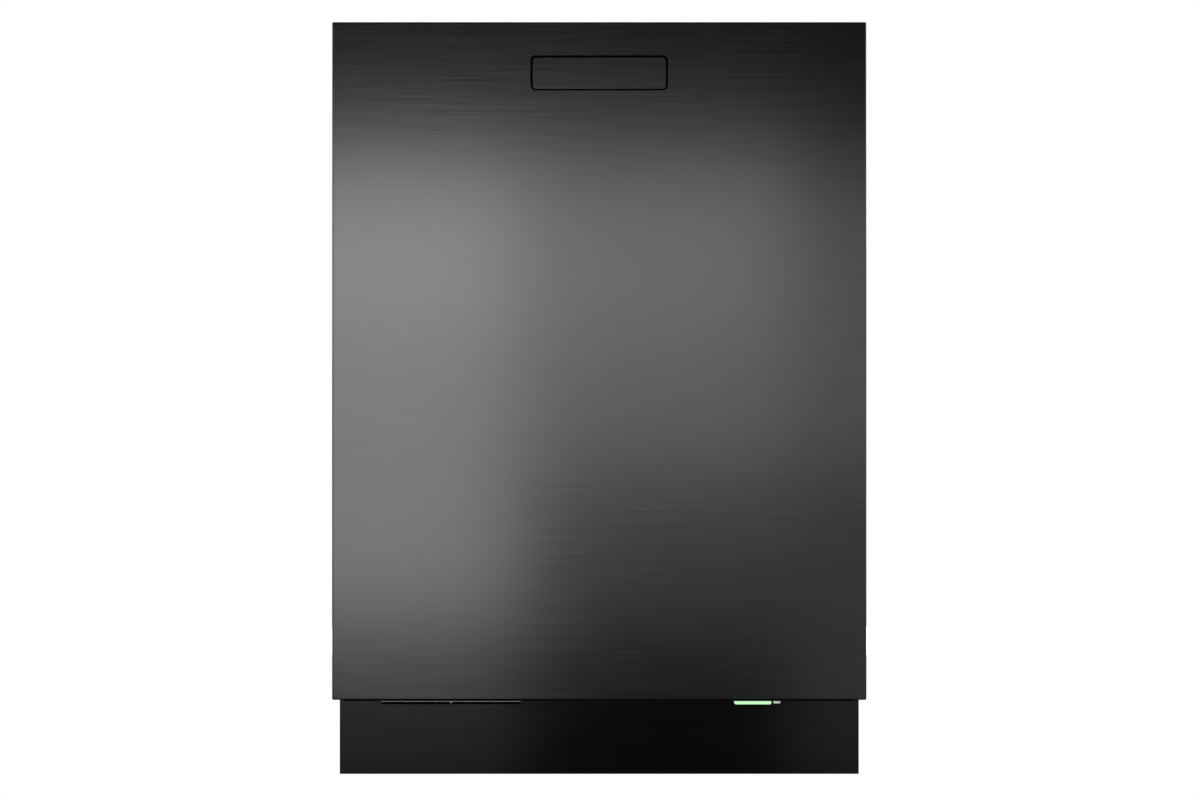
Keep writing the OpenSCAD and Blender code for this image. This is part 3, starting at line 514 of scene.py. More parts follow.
def mix_finishes(colours):
    FINISHES.update(
        black_steel=black_steel("brushed black steel", colours.black_steel, (0.12, 0.2)),
        # The kick is the door's steel in a darker colour: painted shade for the recess under the door
        kick_paint=black_steel("brushed black kick steel with painted shade", colours.kick, (0.1, 0.16)),
        stainless=satin_steel("satin tub steel", colours.stainless, (1.4, 1.4, 220)),
        liner=satin_steel("satin liner steel", colours.stainless, (220, 1.4, 1.4)),
        filter_steel=etched_filter(colours),
        galvanised=zinc_sheet(colours),
        # Bright electroplated zinc on small hardware: smooth with a slight haze
        zinc_hardware=grained("bright zinc plate", colours.zinc, (2, 2, 2), 0.05, (0.18, 0.28), 0.004,
                              Metallic=1),
        # Oil-tempered spring wire: dark grey metal
        spring_steel=grained("oiled spring wire", linear("#6d6c6a"), (1, 1, 1), 0.1, (0.25, 0.4), 0.004,
                             Metallic=1),
        black_plastic=moulded("black polypropylene", colours.black, (0.42, 0.55), 0.9, 0.02),
        vent_plastic=moulded("grey polyamide", linear("#dadcdb"), (0.4, 0.5), 0.9, 0.02),
        # Near-black with little gloss: black plastic darkened further as painted shade, so that the closed
        # vent duct, the handle pocket and the door trim read as deep shadowed gaps
        matt_black=moulded("black polypropylene with painted shade", linear("#040404"), (0.7, 0.85), 1.4, 0.04, 0.1),
        dark_plastic=moulded("dark grey polyamide", colours.dark, (0.4, 0.5), 0.9, 0.02),
        grey_plastic=moulded("grey polypropylene", colours.grey, (0.35, 0.45), 1.2, 0.02),
        light_plastic=moulded("light grey polypropylene", linear("#c4c8cc"), (0.3, 0.4), 1.2, 0.015),
        white_plastic=moulded("white polyamide", colours.white, (0.3, 0.42), 1.2, 0.015),
        hose_plastic=moulded("grey hose polyethylene", linear("#74777a"), (0.4, 0.5), 1.5, 0.02),
        button_plastic=moulded("polished ABS", linear("#1d1d20"), (0.15, 0.22), 3, 0.004),
        foot_plastic=moulded("black polyamide", linear("#161617"), (0.38, 0.5), 0.9, 0.02),
        # Nylon dip over wire: a thick glossy skin with an orange-peel swell of about 3 mm
        rack_coat=grained("nylon rack coat", colours.rack, (3, 3, 3), 0.04, (0.25, 0.34), 0.05,
                          IOR=1.53, Coat_Weight=0.25),
        # Extruded EPDM: dull, with a faint bloom
        rubber_seal=grained("rubber seal", colours.rubber, (4, 4, 4), 0.15, (0.6, 0.75), 0.02, 3,
                            IOR=1.5, Specular_IOR_Level=0.35),
        # Needled polyester felt: matted fibres with a soft sheen. The real tufts are 1 to 2 mm wide; these
        # are drawn at 5 mm so that they show.
        felt=grained("needled felt", colours.felt, (5, 5, 5), 0.75, (0.85, 1), 1.6, 6, 0.75,
                     Sheen_Weight=0.3, Sheen_Roughness=0.6, Specular_IOR_Level=0.15),
        # Polished smoked acrylic over a dark display
        smoked_window=grained("smoked acrylic", linear("#08080a"), (30, 30, 30), 0.2, (0.05, 0.1), 0,
                              IOR=1.49, Coat_Weight=1, Coat_Roughness=0.03),
        green_lens=lit_lens("green diffusing lens", linear("#2c4a2c"), colours.green, 1),
        # The frosted dot has no lamp: its glow is a painted highlight
        pale_lens=lit_lens("frosted lens", linear("#d5d8db"), linear("#dfe6ee"), 0.35),
    )


# Pieces


def settings():
    return bpy.context.scene.dishwasher_sizes


class PieceOperator:
    bl_options = {"REGISTER", "UNDO"}

    def execute(self, context):
        self.build(settings())
        return {"FINISHED"}


class DISHWASHER_OT_finishes(PieceOperator, bpy.types.Operator):
    """Mixes every finish and puts it on the parts of the mechanical model that stay in view"""
    bl_idname = "dishwasher.finishes"
    bl_label = "Finishes"

    def build(self, sizes):
        mix_finishes(bpy.context.scene.dishwasher_colours)
        for node, part in frame["nodes"].items():
            part.data.materials.clear()
            part.data.materials.append(FINISHES[SLOT[node]])


class DISHWASHER_OT_door_skin(PieceOperator, bpy.types.Operator):
    """The folded outer skin of the door, with the opening for the handle and the air path of the vent"""
    bl_idname = "dishwasher.door_skin"
    bl_label = "Door skin"

    def build(self, sizes):
        low, high = box("door_skin")
        skin = cube(low, high)
        open_at(lambda normal: normal.y > 0.9)
        round_edges(lambda a, b: not (near(a.y, high.y) and near(b.y, high.y)), sizes.fold, 5)
        thicken(sizes.sheet)
        pocket_low, pocket_high = box("handle_pocket")
        top = box("handle_flap")[1].z + sizes.flap_gap_top
        sill = pocket_low.z + sizes.pocket_sill
        opening = cube((pocket_low.x + sizes.pocket_rim, low.y - sizes.sheet, sill),
                       (pocket_high.x - sizes.pocket_rim, low.y + 3 * sizes.sheet, top))
        round_edges(lambda a, b: near(a.x, b.x) and near(a.z, b.z), sizes.opening_corner, 8)
        vent_low, vent_high = box("door_vent")
        air = cube((vent_low.x + 6 * MM, vent_low.y + 3 * MM, low.z - sizes.sheet),
                   (vent_high.x - 6 * MM, vent_high.y - 3 * MM, low.z + 2 * sizes.sheet))
        cut(skin, opening, air)
        soften(0.2 * MM)
        stand_in("door_skin", skin)


class DISHWASHER_OT_handle(PieceOperator, bpy.types.Operator):
    """The push-in flap of the handle, its pocket, pin and coil spring"""
    bl_idname = "dishwasher.handle"
    bl_label = "Handle"

    def build(self, sizes):
        softened({"handle_flap": 0.2, "flap_pin": 0.4})
        # The pocket seen through the flap's gaps wears the near-black finish: painted shade for the gap
        softened({"handle_pocket": 0.8}, "matt_black")
        low, high = box("flap_spring")
        centre = (low + high) / 2
        wire = 0.45 * MM
        turn = (high.z - low.z) / 2 - 0.5 * MM
        spring = coil(centre, "Z", high.x - low.x, turn, wire, 18)
        edit()
        bpy.ops.mesh.select_all(action="SELECT")
        bpy.ops.transform.rotate(value=math.pi / 2, orient_axis="Y", center_override=centre)
        done()
        spread = [vertex.co.x for vertex in spring.data.vertices]
        spring.data.transform(Matrix.Translation(X * (centre.x - (min(spread) + max(spread)) / 2)))
        stand_in("flap_spring", spring, "flap_coil_spring")
        self.bosses()

    def bosses(self):
        """The two bosses that carry the pin on the side walls of the pocket."""
        low, high = box("flap_pin")
        centre = (low + high) / 2
        long, radius = 11 * MM, 3.4 * MM
        bosses = []
        for side in (-1, 1):
            wall = Vector((side * (high.x - 2 * MM), centre.y, centre.z))
            bosses.append(rod(wall, wall - X * side * long, radius, 32))
            soften(0.5 * MM)
        # The bosses wear the pocket's near-black finish with its painted shade
        beside("handle_pocket", joined(*bosses), "pin_bosses", "matt_black")


# How many rib pitches wide the vent is, and its ribs: how many pitches from the middle, millimetres of drop
VENT_PITCHES = 4.7
VENT_RIBS = ((-1.5, 0.4), (-0.5, 0.4), (0, 1.4), (0.5, 0.4), (1.5, 0.4))


class DISHWASHER_OT_under_door(PieceOperator, bpy.types.Operator):
    """The trim under the door with its vent, status light and indicator"""
    bl_idname = "dishwasher.under_door"
    bl_label = "Under the door"

    def build(self, sizes):
        # The trim's near-black finish paints the shade of the seam under the door
        softened({"door_trim": 0.3}, "matt_black")
        # The indicator dot's frosted finish glows: a painted highlight
        softened({"status_light": 0.4, "indicator_dot": 0.5})
        self.vent()

    def vent(self):
        """A near-black duct open to the front, its darkness partly painted shade of a deep hole, and the grey
        lip along its top edge with its five ribs.
        """
        low, high = box("door_vent")
        lip, floor, front, side = 1.1 * MM, 0.3 * MM, 3 * MM, 6 * MM
        duct = cube((low.x, low.y + 0.4 * MM, low.z), high)
        mouth = cube((low.x + lip, low.y - lip, low.z + floor), (high.x - lip, high.y - lip, high.z - lip))
        shaft = cube((low.x + side, low.y + front, low.z + lip),
                     (high.x - side, high.y - front, high.z + lip))
        cut(duct, mouth, shaft)
        soften(0.15 * MM)
        # The duct is closed at the back; its near-black finish paints the shade of a deep hole
        stand_in("door_vent", duct, "vent_duct", "matt_black")
        parts = [cube((low.x, low.y, high.z - lip), (high.x, low.y + 2 * MM, high.z))]
        middle = (low.x + high.x) / 2
        pitch = (high.x - low.x) / VENT_PITCHES
        half = 0.9 * MM
        for step, drop in VENT_RIBS:
            x = middle + step * pitch
            under = high.z - lip
            parts.append(cube((x - half, low.y, under - drop * MM), (x + half, high.y - lip, under)))
        strip = joined(*parts)
        soften(0.15 * MM)
        beside("door_vent", strip, "vent_lip", "vent_plastic")


class DISHWASHER_OT_toe_kick(PieceOperator, bpy.types.Operator):
    """The toe kick: a sheet with folded ends, and the two brackets that hold it to the base"""
    bl_idname = "dishwasher.toe_kick"
    bl_label = "Toe kick"

    def build(self, sizes):
        low, high = box("toe_kick")
        kick = cube(low, (high.x, low.y + sizes.kick_return, high.z))
        open_at(lambda normal: normal.y > 0.9 or abs(normal.z) > 0.9)
        round_edges(lambda a, b: near(a.y, low.y) and near(b.y, low.y) and near(a.x, b.x), sizes.fold, 5)
        thicken(sizes.sheet)
        soften(0.2 * MM)
        stand_in("toe_kick", kick)
        half, bottom, top = 12 * MM, 34 * MM, 54 * MM
        tab = cube((-half, low.y + sizes.sheet, bottom), (half, high.y, top))
        open_at(lambda normal: abs(normal.x) > 0.9)
        thicken(sizes.sheet)
        soften(0.3 * MM)
        tabs = copies(tab, (X * -0.2, X * 0.2))
        beside("toe_kick", tabs, "toe_kick_brackets", "galvanised")


class DISHWASHER_OT_controls(PieceOperator, bpy.types.Operator):
    """The control strip along the top edge of the door, its buttons and display window"""
    bl_idname = "dishwasher.controls"
    bl_label = "Controls"

    def build(self, sizes):
        softened({"control_strip": 0.5, "display_window": 0.15, "latch_catch": 0.3, "latch_strike": 0.4})
        softened({f"button_{name}": 0.6 for name in ("power", "program", "options", "start")})


class DISHWASHER_OT_tub(PieceOperator, bpy.types.Operator):
    """The drawn steel tub with its flange, embossed walls, wheel tracks and sump hole, and its seal"""
    bl_idname = "dishwasher.tub"
    bl_label = "Tub"

    def build(self, sizes):
        low, high = box("tub")
        rails_low, rails_high = box("rack_rails")
        duct_low, duct_high = box("feed_pipe")
        inner_low = Vector((-rails_high.x, low.y, duct_low.z))
        inner_high = Vector((rails_high.x, duct_high.y, duct_high.z))
        tub = cube(inner_low, inner_high)
        open_at(lambda normal: normal.y < -0.9)
        round_edges(lambda a, b: near(a.y, inner_high.y) or not near(a.y, b.y), sizes.draw, 6)
        pick("EDGE", lambda a, b: near(a.y, low.y) and near(b.y, low.y))
        bpy.ops.mesh.extrude_region_move()
        middle = (low + high) / 2
        inner_middle = (inner_low + inner_high) / 2
        inner_size = inner_high - inner_low
        bpy.ops.transform.translate(value=(0, 0, middle.z - inner_middle.z))
        bpy.ops.transform.resize(value=((high.x - low.x) / inner_size.x, 1, (high.z - low.z) / inner_size.z),
                                 center_override=(0, low.y, middle.z))
        done()

        def at_mouth(point):
            level = inner_low.z - MM < point.z < inner_high.z + MM
            return near(point.y, low.y) and abs(point.x) < inner_high.x + MM and level

        round_edges(lambda a, b: at_mouth(a) and at_mouth(b), 1.2 * MM, 3)
        edit()
        merge(0.005 * MM)
        done()
        thicken(sizes.liner, 1)
        filter_low, filter_high = box("fine_filter")
        centre = (filter_low + filter_high) / 2
        hole = filter_high.x + 1.5 * MM
        cut(tub, rod((0, centre.y, low.z), (0, centre.y, inner_low.z + 50 * MM), hole, 96))
        soften(0.3 * MM)
        parts = [tub]
        wall, floor, back = inner_high.x, inner_low.z, inner_high.y
        for side in (-1, 1):
            parts.append(side_cube(side, wall - SIDE_ROOM, wall, (TRACK_FRONT, floor - 0.5 * MM),
                                   (back, floor + 4.5 * MM)))
            soften(1.5 * MM, 3)
            start, end = low.y + 50 * MM, back - 60 * MM
            for level in (0.30, 0.36, 0.60, 0.66):
                z = floor + level * inner_size.z
                parts.append(side_cube(side, wall - 2 * MM, wall, (start, z - 7 * MM), (end, z + 7 * MM)))
                taper(lambda normal: normal.x * side < -0.9, (1, 0.985, 0.45), (0, (start + end) / 2, z))
        stand_in("tub", joined(*parts), "tub_drawn")
        softened({"tub_seal": 1.6, "rack_rails": 0.7, "feed_pipe": 1.4})


class DISHWASHER_OT_door_liner(PieceOperator, bpy.types.Operator):
    """The drawn liner on the inside of the door, with its raised centre, beads and screws"""
    bl_idname = "dishwasher.door_liner"
    bl_label = "Door liner"

    def build(self, sizes):
        low, high = box("door_liner")
        boss_x, boss_depth = 262 * MM, 12 * MM
        rim_back = high.y - boss_depth
        boss_low, boss_high = low.z + 32 * MM, high.z - 24 * MM
        liner = cube(low, (high.x, rim_back, high.z))
        open_at(lambda normal: normal.y < -0.9)
        pick("FACE", lambda centre, normal: normal.y > 0.9)
        bpy.ops.mesh.extrude_region_move()
        rim_middle, boss_middle = (low.z + high.z) / 2, (boss_low + boss_high) / 2
        bpy.ops.transform.translate(value=(0, 0, boss_middle - rim_middle))
        bpy.ops.transform.resize(value=(boss_x / high.x, 1, (boss_high - boss_low) / (high.z - low.z)),
                                 center_override=(0, rim_back, boss_middle))
        bpy.ops.mesh.extrude_region_move()
        bpy.ops.transform.translate(value=(0, boss_depth, 0))
        bpy.ops.transform.resize(value=(0.985, 1, 0.99), center_override=(0, high.y, boss_middle))
        done()
        round_edges(lambda a, b: not near(a.y, b.y) and near(max(a.y, b.y), high.y), 14 * MM, 5)
        thicken(sizes.liner)
        body_low, body_high = box("dispenser_body")
        rim = 6 * MM
        cut(liner, cube((body_low.x + rim, low.y, body_low.z + rim),
                        (body_high.x - rim, high.y + rim, body_high.z - rim)))
        soften(0.6 * MM, 3)
        parts = [liner]
        half, inset, rise = 200 * MM, 0.2 * MM, 1.4 * MM
        for level in (0.14, 0.21, 0.28, 0.35, 0.84, 0.9):
            z = boss_low + level * (boss_high - boss_low)
            parts.append(cube((-half, high.y - inset, z - 6 * MM), (half, high.y + rise, z + 6 * MM)))
            taper(lambda normal: normal.y > 0.9, (0.985, 1, 0.4), (0, high.y, z))
        stand_in("door_liner", joined(*parts), "door_liner_drawn", "liner")
        softened({"door_pad": 1.5})
        self.screws()

    def screws(self):
        """Pan heads with a cross recess: two rows on the liner's border and four on the hinge arms."""
        low, high = box("door_screws")
        liner_low, liner_high = box("door_liner")
        border = liner_high.y - 12 * MM
        head = rod((0, border, 0), (0, border + 1.6 * MM, 0), 3.2 * MM, 24)
        soften(0.7 * MM, 3)
        for half_x, half_z in ((0.45, 1.7), (1.7, 0.45)):
            cut(head, cube((-half_x * MM, border + 0.9 * MM, -half_z * MM),
                           (half_x * MM, border + 2 * MM, half_z * MM)))
        x = liner_high.x - 4 * MM
        end = 60 * MM
        pitch = (liner_high.z - liner_low.z - end * 2) / 5
        spots = [X * side * x + Z * (liner_low.z + end + i * pitch) for side in (-1, 1) for i in range(6)]
        stand_in("door_screws", copies(head, spots), "door_screw_heads", "zinc_hardware")
        bolt = rod((high.x - 1 * MM, 0, 0), (high.x, 0, 0), 3 * MM, 6)
        soften(0.2 * MM)
        level = box("hinge_arm_right")[0].z + 11 * MM
        back = box("door_skin")[1].y + 10 * MM
        right = [Vector((0, back, level + rise)) for rise in (90 * MM, 135 * MM)]
        left = [spot - X * (2 * high.x - 1 * MM) for spot in right]
        beside("door_skin", copies(bolt, right + left), "hinge_arm_bolts", "zinc_hardware")


class DISHWASHER_OT_dispenser(PieceOperator, bpy.types.Operator):
    """The detergent and rinse-aid dispenser in the door liner"""
    bl_idname = "dishwasher.dispenser"
    bl_label = "Dispenser"

    def build(self, sizes):
        softened({"dispenser_body": 0.6, "dispenser_lid": 0.9, "rinse_cap": 0.9})


class DISHWASHER_OT_hinges(PieceOperator, bpy.types.Operator):
    """The hinge arms and plates, and the two door springs"""
    bl_idname = "dishwasher.hinges"
    bl_label = "Hinges and springs"

    def build(self, sizes):
        softened({"hinge_arm_left": 0.4, "hinge_arm_right": 0.4, "hinge_plates": 0.4})
        for side, node in ((-1, "door_spring_left"), (1, "door_spring_right")):
            self.spring(sizes, node, side)

    def spring(self, sizes, node, side):
        low, high = box(node)
        radius = (high.z - low.z) / 2
        x = (high.x if side > 0 else low.x) - side * radius
        z = (low.z + high.z) / 2
        hook, anchor = low.y + 1 * MM, high.y
        front, back = hook + 39.6 * MM, anchor - 5 * MM
        turn = radius - sizes.spring_wire
        spring = coil((x, front, z), "Y", back - front, turn, sizes.spring_wire, 44)
        arm = low.x if side > 0 else high.x
        front_leg = bent_wire([(x + turn, front, z), (x, front - 6 * MM, z), (x, hook, z), (arm, hook, z)],
                              sizes.spring_wire, 2 * MM)
        back_leg = bent_wire([(x + turn, back, z), (x, back + 2.5 * MM, z), (x, anchor, z)],
                             sizes.spring_wire, 1 * MM)
        piece = finished(f"{node}_coil", joined(spring, front_leg, back_leg), "spring_steel")
        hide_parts(node)
        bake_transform(piece)


def basket(sizes, low, high, slope, pitch, levels):
    """The wires of a basket: U-shaped wires across and along, and rims round them."""
    reach = sizes.rim * 2 + sizes.wire
    left, right = low.x + reach, high.x - reach
    front, back = low.y + reach, high.y - reach
    top = high.z - sizes.rim
    floor = low.z + sizes.wire
    upper = floor + sizes.wire * 2
    across = bent_wire([(left, 0, top), (left, 0, floor), (right, 0, floor), (right, 0, top)],
                       sizes.wire, sizes.bend)
    flat = back - front - slope - sizes.bend * 2
    count = round(flat / pitch) + 1
    across.data.transform(Matrix.Translation(Y * (front + slope + sizes.bend)))
    row(across, count, Y * (flat / (count - 1)))
    run = [(left, front, top), (left, front, upper + slope), (left, front + slope, upper),
           (left, back, upper), (left, back, top)]
    if not slope:
        run.pop(2)
    along = bent_wire(run, sizes.wire, sizes.bend)
    span = right - left - sizes.bend * 2
    along.data.transform(Matrix.Translation(X * sizes.bend))
    count = round(span / (pitch * 1.2)) + 1
    row(along, count, X * (span / (count - 1)))
    parts = [across, along]
    for level in levels:
        z = low.z + level * (high.z - low.z) - sizes.rim
        step = sizes.wire + sizes.rim
        corners = ((left, front - step), (right, front - step), (right, back + step), (left, back + step))
        loop = [(x + math.copysign(step, x), y, z) for x, y in corners]
        parts.append(bent_wire(loop, sizes.rim, sizes.bend * 1.6, closed=True))
    for level in (0.25, 0.5, 0.75) if slope else ():
        z, y = upper + slope * level, front + slope * (1 - level)
        parts.append(bent_wire([(left, y, z), (right, y, z)], sizes.wire))
    return parts


def tine_row(sizes, x, y0, y1, z, height, pitch, bar=True):
    """A row of upright wires with rounded tips on a bar."""
    tine = bent_wire([(x, y0, z), (x, y0, z + height)], sizes.tine)
    soften(sizes.tine * 0.7)
    count = int((y1 - y0) / pitch) + 1
    row(tine, count, Y * pitch)
    return [tine, bent_wire([(x, y0 - 3 * MM, z), (x, y1, z)], sizes.tine)] if bar else [tine]


def rack_box(node, height=None):
    """The space of a rack's basket: as wide as the room between the rails."""
    low, high = box(node)
    half = box("rack_rails")[1].x - SIDE_ROOM
    floor = high.z - height if height else low.z
    return Vector((-half, low.y, floor)), Vector((half, high.y, high.z))


class DISHWASHER_OT_lower_rack(PieceOperator, bpy.types.Operator):
    """The lower rack of bent wire, its fold-down tines, wheel brackets and wheels"""
    bl_idname = "dishwasher.lower_rack"
    bl_label = "Lower rack"

    def build(self, sizes):
        low, high = rack_box("lower_rack", sizes.lower_basket)
        low.y = RACK_FRONT
        fold_low, fold_high = box("fold_tines")
        row_x = (fold_low.x + fold_high.x) / 2
        front, back = fold_low.y + 3 * MM, fold_high.y
        bar_z = low.z + sizes.wire * 5
        parts = basket(sizes, low, high, 40 * MM, WIRE_PITCH, (1, 0.62))
        for i in (-3, -2, -1, 0, 2, 3):
            parts += tine_row(sizes, i * row_x, front, back, bar_z, 54 * MM, WIRE_PITCH)
        stand_in("lower_rack", joined(*parts), "lower_rack_wires")
        pivot = fold_low.z + 1.6 * MM
        fold = tine_row(sizes, row_x, front, back, pivot, fold_high.z - pivot, WIRE_PITCH)
        stand_in("fold_tines", joined(*fold), "fold_tines_wires")
        half = 5 * MM
        clip = cube((row_x - half, front + WIRE_PITCH / 2, bar_z - sizes.wire),
                    (row_x + half, front + 19 * MM, pivot + 4 * MM))
        soften(1.6 * MM, 3)
        clips = copies(clip, [Y * WIRE_PITCH * i for i in (0, 6, 12)])
        beside("lower_rack", clips, "fold_clips", "grey_plastic")
        self.running_gear(high.x)

    def running_gear(self, half):
        brackets = []
        for node in ("front_wheels", "rear_wheels"):
            low, high = box(node)
            centre = (low + high) / 2
            radius = (high.z - low.z) / 2
            wheel_x = high.x - 8 * MM
            tyre = rod((wheel_x, centre.y, centre.z), (high.x, centre.y, centre.z), radius, 40)
            pick("FACE", lambda face, normal: abs(normal.x) > 0.9)
            groove, rim = 2.2 * MM, 0.4 * MM
            for width, depth in ((radius * 0.2, 0), (rim, -groove), (radius * 0.4, 0), (rim, groove)):
                bpy.ops.mesh.inset(thickness=width, depth=depth, use_individual=True)
            done()
            slots = []
            for i in range(6):
                angle = math.tau * i / 6
                arm = Vector((0, math.cos(angle), math.sin(angle))) * radius * 0.56
                slots.append(rod((wheel_x - 1, centre.y, centre.z), (high.x + 1, centre.y, centre.z),
                                 radius * 0.11, 12))
                slots[-1].data.transform(Matrix.Translation(arm))
            alone(tyre)
            cut(tyre, *slots)
            soften(0.5 * MM)
            pair = copies(tyre, (Vector(), X * -(wheel_x + high.x)))
            stand_in(node, pair)
            for side in (-1, 1):
                brackets.append(side_cube(side, half, wheel_x - 1 * MM,
                                          (centre.y - 11 * MM, centre.z - 5 * MM),
                                          (centre.y + 11 * MM, centre.z + 37 * MM)))
                taper(lambda normal: normal.z < -0.9, (1, 0.6, 1), (0, centre.y, centre.z))
                soften(1.2 * MM, 3)
                brackets.append(rod((side * (wheel_x - 3 * MM), centre.y, centre.z),
                                    (side * (high.x + 1 * MM), centre.y, centre.z), 2.5 * MM, 20))
                soften(0.5 * MM)
        beside("lower_rack", joined(*brackets), "lower_rack_brackets", "grey_plastic")


class DISHWASHER_OT_upper_rack(PieceOperator, bpy.types.Operator):
    """The upper rack of bent wire, its runners, water duct and slides"""
    bl_idname = "dishwasher.upper_rack"
    bl_label = "Upper rack"

    def build(self, sizes):
        low, high = rack_box("upper_rack", sizes.upper_basket)
        dock_end = high.y
        high.y = box("lower_rack")[1].y
        fold_low, fold_high = box("fold_tines")
        parts = basket(sizes, low, high, 0, WIRE_PITCH, (1, 0.6))
        row_gap = 79.2 * MM
        for i in (-2, -1, 1, 2):
            parts += tine_row(sizes, i * row_gap, fold_low.y + 3 * MM, fold_high.y, low.z + sizes.wire * 5,
                              38 * MM, WIRE_PITCH)
        stand_in("upper_rack", joined(*parts), "upper_rack_wires")
        self.fittings(low, high, dock_end)
        softened({"upper_slides": 1.2})

    def fittings(self, low, high, dock_end):
        slide_low, slide_high = box("upper_slides")
        middle = (slide_low.z + slide_high.z) / 2
        fittings = []
        for side in (-1, 1):
            fittings.append(side_cube(side, high.x, high.x + 6 * MM, (low.y + 20 * MM, middle - 8 * MM),
                                      (high.y - 20 * MM, middle + 8 * MM)))
            soften(1.5 * MM, 3)
        filter_low, filter_high = box("fine_filter")
        centre_y = (filter_low.y + filter_high.y) / 2
        half = 12 * MM
        fittings.append(cube((-half, centre_y - half, low.z - 9 * MM), (half, dock_end - 2 * MM, low.z)))
        soften(3 * MM, 4)
        dock = low.z - 5 * MM
        fittings.append(rod((0, high.y, dock), (0, dock_end, dock), 11 * MM, 32))
        soften(1 * MM)
        bottom = box("upper_rack")[0].z
        fittings.append(rod((0, centre_y, bottom + 2 * MM), (0, centre_y, low.z - 4 * MM), 6 * MM, 32))
        fittings.append(rod((0, centre_y, bottom), (0, centre_y, bottom + 2 * MM), 9 * MM, 32))
        soften(0.6 * MM)
        beside("upper_rack", joined(*fittings), "upper_rack_fittings", "grey_plastic")


class DISHWASHER_OT_cutlery_tray(PieceOperator, bpy.types.Operator):
    """The shallow cutlery tray of fine wire, with its dividers and slides"""
    bl_idname = "dishwasher.cutlery_tray"
    bl_label = "Cutlery tray"

    def build(self, sizes):
        low, high = rack_box("cutlery_tray")
        high.y = box("lower_rack")[1].y
        parts = basket(sizes, low, high, 0, 19 * MM, (1,))
        stand_in("cutlery_tray", joined(*parts), "cutlery_tray_wires")
        dividers = []
        for x in (-81 * MM, 81 * MM):
            dividers.append(cube((x - 1 * MM, low.y + 6 * MM, low.z + sizes.wire * 3),
                                 (x + 1 * MM, high.y - 6 * MM, high.z - 6 * MM)))
            soften(0.6 * MM)
        wall = box("rack_rails")[1].x - 2.5 * MM
        middle = (low.z + high.z) / 2
        for side in (-1, 1):
            dividers.append(side_cube(side, high.x, wall, (low.y, middle - 8 * MM),
                                      (high.y + 15 * MM, middle + 8 * MM)))
            soften(1.5 * MM, 3)
        beside("cutlery_tray", joined(*dividers), "cutlery_tray_fittings", "grey_plastic")


class DISHWASHER_OT_spray_arms(PieceOperator, bpy.types.Operator):
    """The three spray arms: tapered hollow arms with rounded edges, a hub and jets"""
    bl_idname = "dishwasher.spray_arms"
    bl_label = "Spray arms"

    def build(self, sizes):
        self.arm("spray_arm_lower", 22 * MM, 11 * MM, 9.2 * MM)
        self.arm("spray_arm_middle", 16 * MM, 8 * MM, 6.2 * MM)
        self.arm("spray_arm_top", 14 * MM, 7 * MM, 6.2 * MM)

    def arm(self, node, hub, thick, bore):
        low, high = box(node)
        centre = (low + high) / 2
        top = high.z - 1.5 * MM
        root, tip = 20 * MM, 14 * MM
        halves = []
        for side in (-1, 1):
            halves.append(side_cube(side, 0, high.x, (centre.y - root, top - thick), (centre.y + root, top)))
            taper(lambda normal: normal.x * side > 0.9, (1, tip / root, 1), centre)
            end = side * high.x
            round_edges(lambda a, b: near(a.x, end) and near(b.x, end) and near(a.y, b.y), tip * 0.92, 7)
            open_at(lambda normal: normal.x * side < -0.9)
        arm = joined(*halves)
        edit()
        merge(0.02 * MM)
        done()
        soften(thick * 0.28, 4, 40)
        pick("FACE", lambda face, normal: normal.z > 0.99)
        bpy.ops.mesh.inset(thickness=4 * MM, depth=0)
        bpy.ops.mesh.inset(thickness=0.6 * MM, depth=-0.7 * MM)
        done()
        centre_rod = rod((0, centre.y, low.z), (0, centre.y, top + 1 * MM), hub, 48)
        soften(1.4 * MM, 3)
        parts = [arm, centre_rod]
        jet = rod((0, centre.y, top - 1 * MM), (0, centre.y, top + 1.5 * MM), 3 * MM, 20)
        soften(0.9 * MM, 3)
        half_x, half_y = 1.8 * MM, 0.4 * MM
        cut(jet, cube((-half_x, centre.y - half_y, top + 0.4 * MM),
                      (half_x, centre.y + half_y, top + 2 * MM)))
        spots = [X * side * high.x * i / 5 + Y * side * 5 * MM for i in range(1, 5) for side in (-1, 1)]
        parts.append(copies(jet, spots))
        piece = joined(*parts)
        cut(piece, rod((0, centre.y, low.z - 1 * MM), (0, centre.y, low.z + 5 * MM), bore, 32))
        stand_in(node, piece)


class DISHWASHER_OT_water_parts(PieceOperator, bpy.types.Operator):
    """The sump and filters, the pumps, the inlet valve with its thread, the drain hose and the wiring box"""
    bl_idname = "dishwasher.water_parts"
    bl_label = "Water and wiring"

    def build(self, sizes):
        softened({"sump": 0.8, "fine_filter": 0.4, "filter_cup": 0.6, "float_cap": 1.2,
                  "circulation_pump": 1.5, "drain_pump": 1.2, "inlet_valve": 0.8, "drain_hose": 1.1,
                  "junction_box": 0.9})
        low, high = box("inlet_valve")
        x = (low.x + high.x) / 2
        z = low.z + 20 * MM
        thread = coil((x, high.y - 14.5 * MM, z), "Y", 13 * MM, 13.4 * MM, 0.7 * MM, 7, 32)
        beside("inlet_valve", thread, "inlet_thread", "white_plastic")


